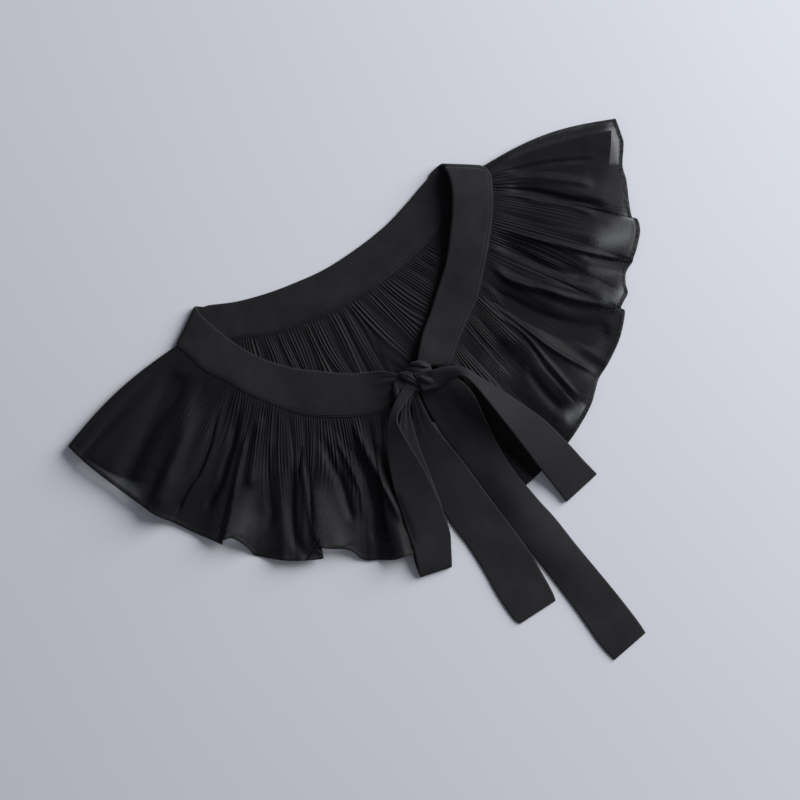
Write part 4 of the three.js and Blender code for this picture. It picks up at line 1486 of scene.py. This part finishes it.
@dataclass
class BackRuffle(Ruffle):
    """The back half of the ruffle, flat on the ground under all the rest, inside up."""

    ends: tuple[float, float] = (0.012, 0.988)
    clear: float = 0.3
    settled_by: float = 0.05
    highest: float = 1.9

    def build(self) -> bpy.types.Object:
        """Makes the sheet.

        Returns:
            The sheet, as one piece.
        """
        grid = self.lay_out(*self.ends)
        share = grid.share
        resting = self.rests_at + self.crinkle.relief(grid.seam_mm, share)
        resting = resting + 0.5 * self.hem_profile(share)[None]
        settled = smoothstep(share, 0, self.settled_by)[None]
        height = lerp(grid.seam_points[:, 2:3], resting + self.clear, settled)
        grid.points[..., 2] = np.minimum(soft_floor(height, self.lowest, 4), self.highest)
        return self.sheet(grid.points, share, "studio_board")


# ------------------------------------------------------------------------------- the bow


@dataclass
class TieStrip:
    """One stretch of the folded tie, with what its tails and loops share."""

    name: str
    rows: Table
    finish: bpy.types.Material
    seed: int
    shape: StripShape
    cut_width: float
    held: str

    def strip(self, edges: Edges, relief: np.ndarray) -> bpy.types.Object:
        """Makes the stretch's piece.

        Args:
            edges: Its left and right edge.
            relief: How far each point of its middle is moved along the strip's normal.

        Returns:
            The piece.
        """
        piece = build_strip(f"{self.name}_strip", *edges, self.shape, self.finish, relief)
        dress(piece, Slot.TIES, self.name)
        return piece


@dataclass
class Tail(TieStrip):
    """One hanging end of the tie."""

    shape: StripShape = StripShape(thick=1.25, rounding=0.8, across=24)
    cut_width: float = 28.0
    held: str = "laid"
    step: float = 0.12
    ripple: float = 0.2
    ripple_reach: tuple[float, float] = (22.0, 0.7)
    pleats: float = 2.6
    pleat_height: float = 0.14
    # Distances from the knot over which the pleats fade, the ripples grow, and the crown, which
    # lifts the middle of the width, rises and falls.
    pleats_fade: tuple[float, float] = (10.0, 48.0)
    ripples_grow: tuple[float, float] = (20.0, 60.0)
    crown: float = 0.0
    crown_rises: tuple[float, float] = (40.0, 90.0)
    crown_falls: tuple[float, float] = (120.0, 190.0)
    above_ground: float = 0.08

    def build(self) -> bpy.types.Object:
        """Makes the tail.

        Returns:
            The tail, as one piece.
        """
        place = np.arange(0, self.rows.last + 0.001, self.step)
        left, right = (self.rows.read(f"{edge}X {edge}Y {edge}Z", place) for edge in ("left", "right"))
        middle, travelled, across = self.shape.grid(left, right)
        fade = 1 - smoothstep(travelled, *self.pleats_fade)
        relief = fade * self.pleat_height * wave(self.pleats * across + 0.2) * arch(across)
        wander = Wander(self.seed, self.ripple_reach).at(travelled, across)
        relief += self.ripple * wander * smoothstep(travelled, *self.ripples_grow)
        crown = self.crown * arch(across) * smoothstep(travelled, *self.crown_rises)
        relief += crown * (1 - smoothstep(travelled, *self.crown_falls))
        relief = np.maximum(relief, self.above_ground - (middle[..., 2] - self.shape.thick / 2))
        return self.strip((left, right), relief)


@dataclass
class Loop(TieStrip):
    """One loop of the bow: out on the lower layer, round the end fold and back on the upper one."""

    shape: StripShape = StripShape(thick=1.2, rounding=0.8, across=24)
    cut_width: float = 23.5
    held: str = "folded"
    creases: tuple[Mark, ...] = ()
    step: float = 0.1
    end_radius: float = 0.85
    end_points: int = 11
    ripple: float = 0.22
    ripple_reach: tuple[float, float] = (24.0, 0.6)
    # Number and height of the pleats at the knot, on the lower layer and on the upper one.
    pleats: tuple[float, float] = (2.2, 4.6)
    pleat_height: tuple[float, float] = (0.3, 0.2)
    pleats_fade: tuple[float, float] = (8.0, 50.0)
    end_fade: tuple[float, float] = (2.0, 12.0)

    def layer(self, place: np.ndarray, upper: bool) -> Edges:
        """Finds the edges of one layer, from the knot to the end.

        Args:
            place: Places in the table.
            upper: Whether it is the upper layer.

        Returns:
            The outer edge and the inner edge.
        """
        columns = smooth(self.rows.rows, place).T
        outer_x, outer_y, inner_x, inner_y, low, room, slip, lean = columns
        shift, height, tilt = (0 * slip, low + room, lean / 2) if upper else (slip, low, 0 * lean)
        return (np.column_stack([outer_x + shift, outer_y, height - tilt]),
                np.column_stack([inner_x + shift, inner_y, height + tilt]))

    def relief(self, edges: Edges, upper: bool) -> np.ndarray:
        """Shapes the pleats at the knot, the ripples and the creases of one layer.

        Args:
            edges: The layer's outer and inner edge.
            upper: Whether it is the upper layer, which has the creases.

        Returns:
            The height of them all at each point.
        """
        middle, travelled, across = self.shape.grid(*edges)
        fade = 1 - smoothstep(travelled, *self.pleats_fade)
        total = fade * self.pleat_height[upper] * wave(self.pleats[upper] * across + 0.3)
        total = total * arch(across) ** 0.5
        total += self.ripple * Wander(self.seed + upper, self.ripple_reach).at(travelled, across)
        total *= smoothstep(travelled[-1, 0] - travelled, *self.end_fade)
        return total + marked(middle[..., :2], self.creases) if upper else total

    def build(self) -> bpy.types.Object:
        """Makes the loop.

        Returns:
            The loop, as one piece.
        """
        place = np.arange(0, self.rows.last - 0.05, self.step)
        ends = self.rows.columns("outerX outerY innerX innerY")
        fold = Fold.of(ends[-1, :2], ends[-1, 2:], ends[-2, :2], slanted=False)
        half = self.end_radius * math.pi / 2
        travel = np.linspace(-half, half, self.end_points)
        round_end = [fold.points(share, travel, self.end_radius, self.shape.thick / 2) for share in (0, 1)]
        low, high = self.layer(place, False), self.layer(place, True)
        outer, inner = (np.concatenate([low[k], round_end[k], high[k][::-1]]) for k in (0, 1))
        flat_end = np.zeros((self.end_points, self.shape.across + 1))
        relief = np.concatenate([-self.relief(low, False), flat_end, self.relief(high, True)[::-1]])
        sign = 1 if grid_normals(np.stack([outer, inner], 1))[-3, 0, 2] > 0 else -1
        return self.strip((outer, inner), sign * relief)


@dataclass
class Knot:
    """The knot of the bow: pleated strands of the tie wound over each other."""

    finish: bpy.types.Material
    rows: Table = KNOT_STRANDS
    seed: int = 40
    round_points: int = 72
    steps: int = 40
    pleats: float = 3.5
    pleat_depth: float = 0.2
    unevenness: float = 0.1

    def strand(self, row: np.ndarray, seed: int) -> tuple[np.ndarray, list[tuple[int, ...]]]:
        """Makes one strand, a closed tube with lengthwise pleats.

        Args:
            row: A row of the strands' table.
            seed: Which of the possible pleatings it has.

        Returns:
            Its points and faces.
        """
        wide, high, turn = row[9:]
        centre = smooth(row[:9].reshape(3, 3), np.linspace(0, 2, self.steps))
        tangent = unit(np.gradient(centre, axis=0))
        side = unit(np.cross(tangent, [0.0, 0.0, 1.0]))
        up = np.cross(side, tangent)
        angle = np.linspace(0, 2 * math.pi, self.round_points, endpoint=False)
        place = np.linspace(0, 1, self.steps)[:, None]
        swell = np.maximum(arch(np.clip(place, 0.02, 0.98)), 0) ** 0.35
        wound = angle[None] + turn * (place - 0.5) * 2
        wander = Wander(seed, (0.45, 0.22)).at(wound + 9, place + 0 * wound)
        pleats = 1 - self.pleat_depth * np.abs(np.sin(self.pleats * wound + 1.5 * wander)) ** 0.6
        pleats = pleats + self.unevenness * wander
        across = wide * swell * pleats * np.cos(angle)
        over = high * swell * pleats * np.sin(angle)
        points = centre[:, None] + side[:, None] * across[..., None] + up[:, None] * over[..., None]
        faces = grid_faces(self.steps, self.round_points, closed=True)
        first = tuple(range(self.round_points))
        last = tuple(k + (self.steps - 1) * self.round_points for k in first)
        return points.reshape(-1, 3), [*faces, first[::-1], last]

    def build(self) -> bpy.types.Object:
        """Makes the knot.

        Returns:
            The knot, as one piece.
        """
        points, faces, count = [], [], 0
        for number, row in enumerate(self.rows.rows):
            strand_points, strand_faces = self.strand(row, self.seed + number)
            points.append(strand_points)
            faces += [tuple(count + k for k in face) for face in strand_faces]
            count += len(strand_points)
        piece = new_piece("knot_wound", np.concatenate(points), faces, self.finish, {})
        dress(piece, Slot.TIES, "knot")
        return piece


# ------------------------------------------------------------------------------- the studio


@dataclass(frozen=True)
class Studio:
    """A pale board, soft light from the upper right, and the camera straight above."""

    image_px: int = 800
    px_mm: float = 0.62
    lens_mm: float = 85.0
    sensor_mm: float = 36.0
    turn_deg: float = 29.2
    board_m: float = 6.0
    key_power: float = 94.0
    key_size: float = 1.8
    key_distance: float = 2.3
    key_azimuth_deg: float = 35.0
    key_elevation_deg: float = 27.0
    key_colour: str = "#fffdfa"
    room_colour: str = "#eef1fa"
    room_strength: float = 0.185

    def board(self, finish: bpy.types.Material) -> None:
        """Makes the board under the collar.

        Args:
            finish: Its material.
        """
        half = self.board_m / 2
        mesh = bpy.data.meshes.new("studio_board")
        corners = [(-half, -half, 0), (half, -half, 0), (half, half, 0), (-half, half, 0)]
        mesh.from_pydata(corners, [], [(0, 1, 2, 3)])
        mesh.materials.append(finish)
        new_object("studio_board", mesh)

    def camera(self) -> None:
        """Makes the camera, looking straight down at the tie point with its own turn."""
        data = bpy.data.cameras.new("camera")
        data.lens = self.lens_mm
        data.sensor_width = self.sensor_mm
        camera = new_object("camera", data)
        height = self.image_px * self.px_mm * self.lens_mm / self.sensor_mm
        camera.location = to_scene(np.array([0.0, 0.0, height]))
        camera.rotation_euler = (0.0, 0.0, -math.radians(self.turn_deg))
        bpy.context.scene.camera = camera

    def lights(self) -> None:
        """Makes the soft key light and the even light of the room."""
        data = bpy.data.lights.new("key", "AREA")
        data.shape = "DISK"
        data.size = self.key_size
        data.energy = self.key_power
        data.color = linear(self.key_colour)[:3]
        key = new_object("key", data)
        turn = math.radians(self.key_azimuth_deg - self.turn_deg)
        lift = math.radians(self.key_elevation_deg)
        away = np.array([math.cos(turn) * math.cos(lift), math.sin(turn) * math.cos(lift), math.sin(lift)])
        key.location = away * self.key_distance
        key.rotation_euler = (math.pi / 2 - lift, 0.0, turn + math.pi / 2)
        world = bpy.data.worlds.new("room")
        world.use_nodes = True
        background = world.node_tree.nodes["Background"]
        background.inputs["Color"].default_value = linear(self.room_colour)
        background.inputs["Strength"].default_value = self.room_strength
        bpy.context.scene.world = world
        bpy.context.scene.view_settings.view_transform = "Standard"


# ------------------------------------------------------------------------------- the whole


def main() -> None:
    """Builds the studio and the collar's pieces in order."""
    logging.basicConfig(level=logging.INFO, format="%(name)s: %(message)s")
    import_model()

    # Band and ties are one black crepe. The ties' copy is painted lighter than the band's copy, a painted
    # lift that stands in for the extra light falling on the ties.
    band_crepe = PolyesterCrepe("polyester_crepe_pressed", "#131316", "#232327", stitched=True).build()
    tie_crepe = PolyesterCrepe("polyester_crepe_painted_lighter", "#1a1a1d", "#25252a").build()
    chiffon = CrinkleChiffon("polyester_chiffon_crinkled", "#151519").build()
    studio = Studio()
    studio.camera()
    studio.lights()
    studio.board(PaintedBoard("painted_board", "#d2d6df", "#ccd0da").build())

    band = Neckband(band_crepe)
    back_crinkle = Crinkle(
        70, pitch=1.7, height=0.34, bundle_pitch=9.0, fold_height=0.3, lean=15.0, lean_reach=(10.0, 0.6),
        grouped=0.45)
    builders = [
        band,
        BackRuffle("ruffle_back", chiffon, band, BACK_FOLDS, back_crinkle, BACK_OPEN),
        FrontRuffle(
            "ruffle_left", chiffon, band, LEFT_FOLDS, Crinkle(80), LEFT_OPEN, Side.LEFT,
            creases=LEFT_CREASES, calm=LEFT_CALM, hem_radius=2.6, loft=0.6),
        FrontRuffle(
            "ruffle_right", chiffon, band, RIGHT_FOLDS, Crinkle(90, height=0.28), RIGHT_OPEN, Side.RIGHT,
            creases=RIGHT_CREASES, calm=RIGHT_CALM, seam_radius=2.9, loft=1.4),
        Tail("tail_middle", MIDDLE_TAIL, tie_crepe, 20),
        Tail("tail_long", LONG_TAIL, tie_crepe, 24, crown=1.8),
        Loop("loop_left", LEFT_LOOP, tie_crepe, 28, creases=LEFT_LOOP_CREASES),
        Loop("loop_right", RIGHT_LOOP, tie_crepe, 32, creases=RIGHT_LOOP_CREASES),
        Knot(tie_crepe),
    ]
    for builder in builders:
        piece = builder.build()
        LOG.info("built %s with %d faces", piece.name, len(piece.data.polygons))


if __name__ == "__main__":
    main()
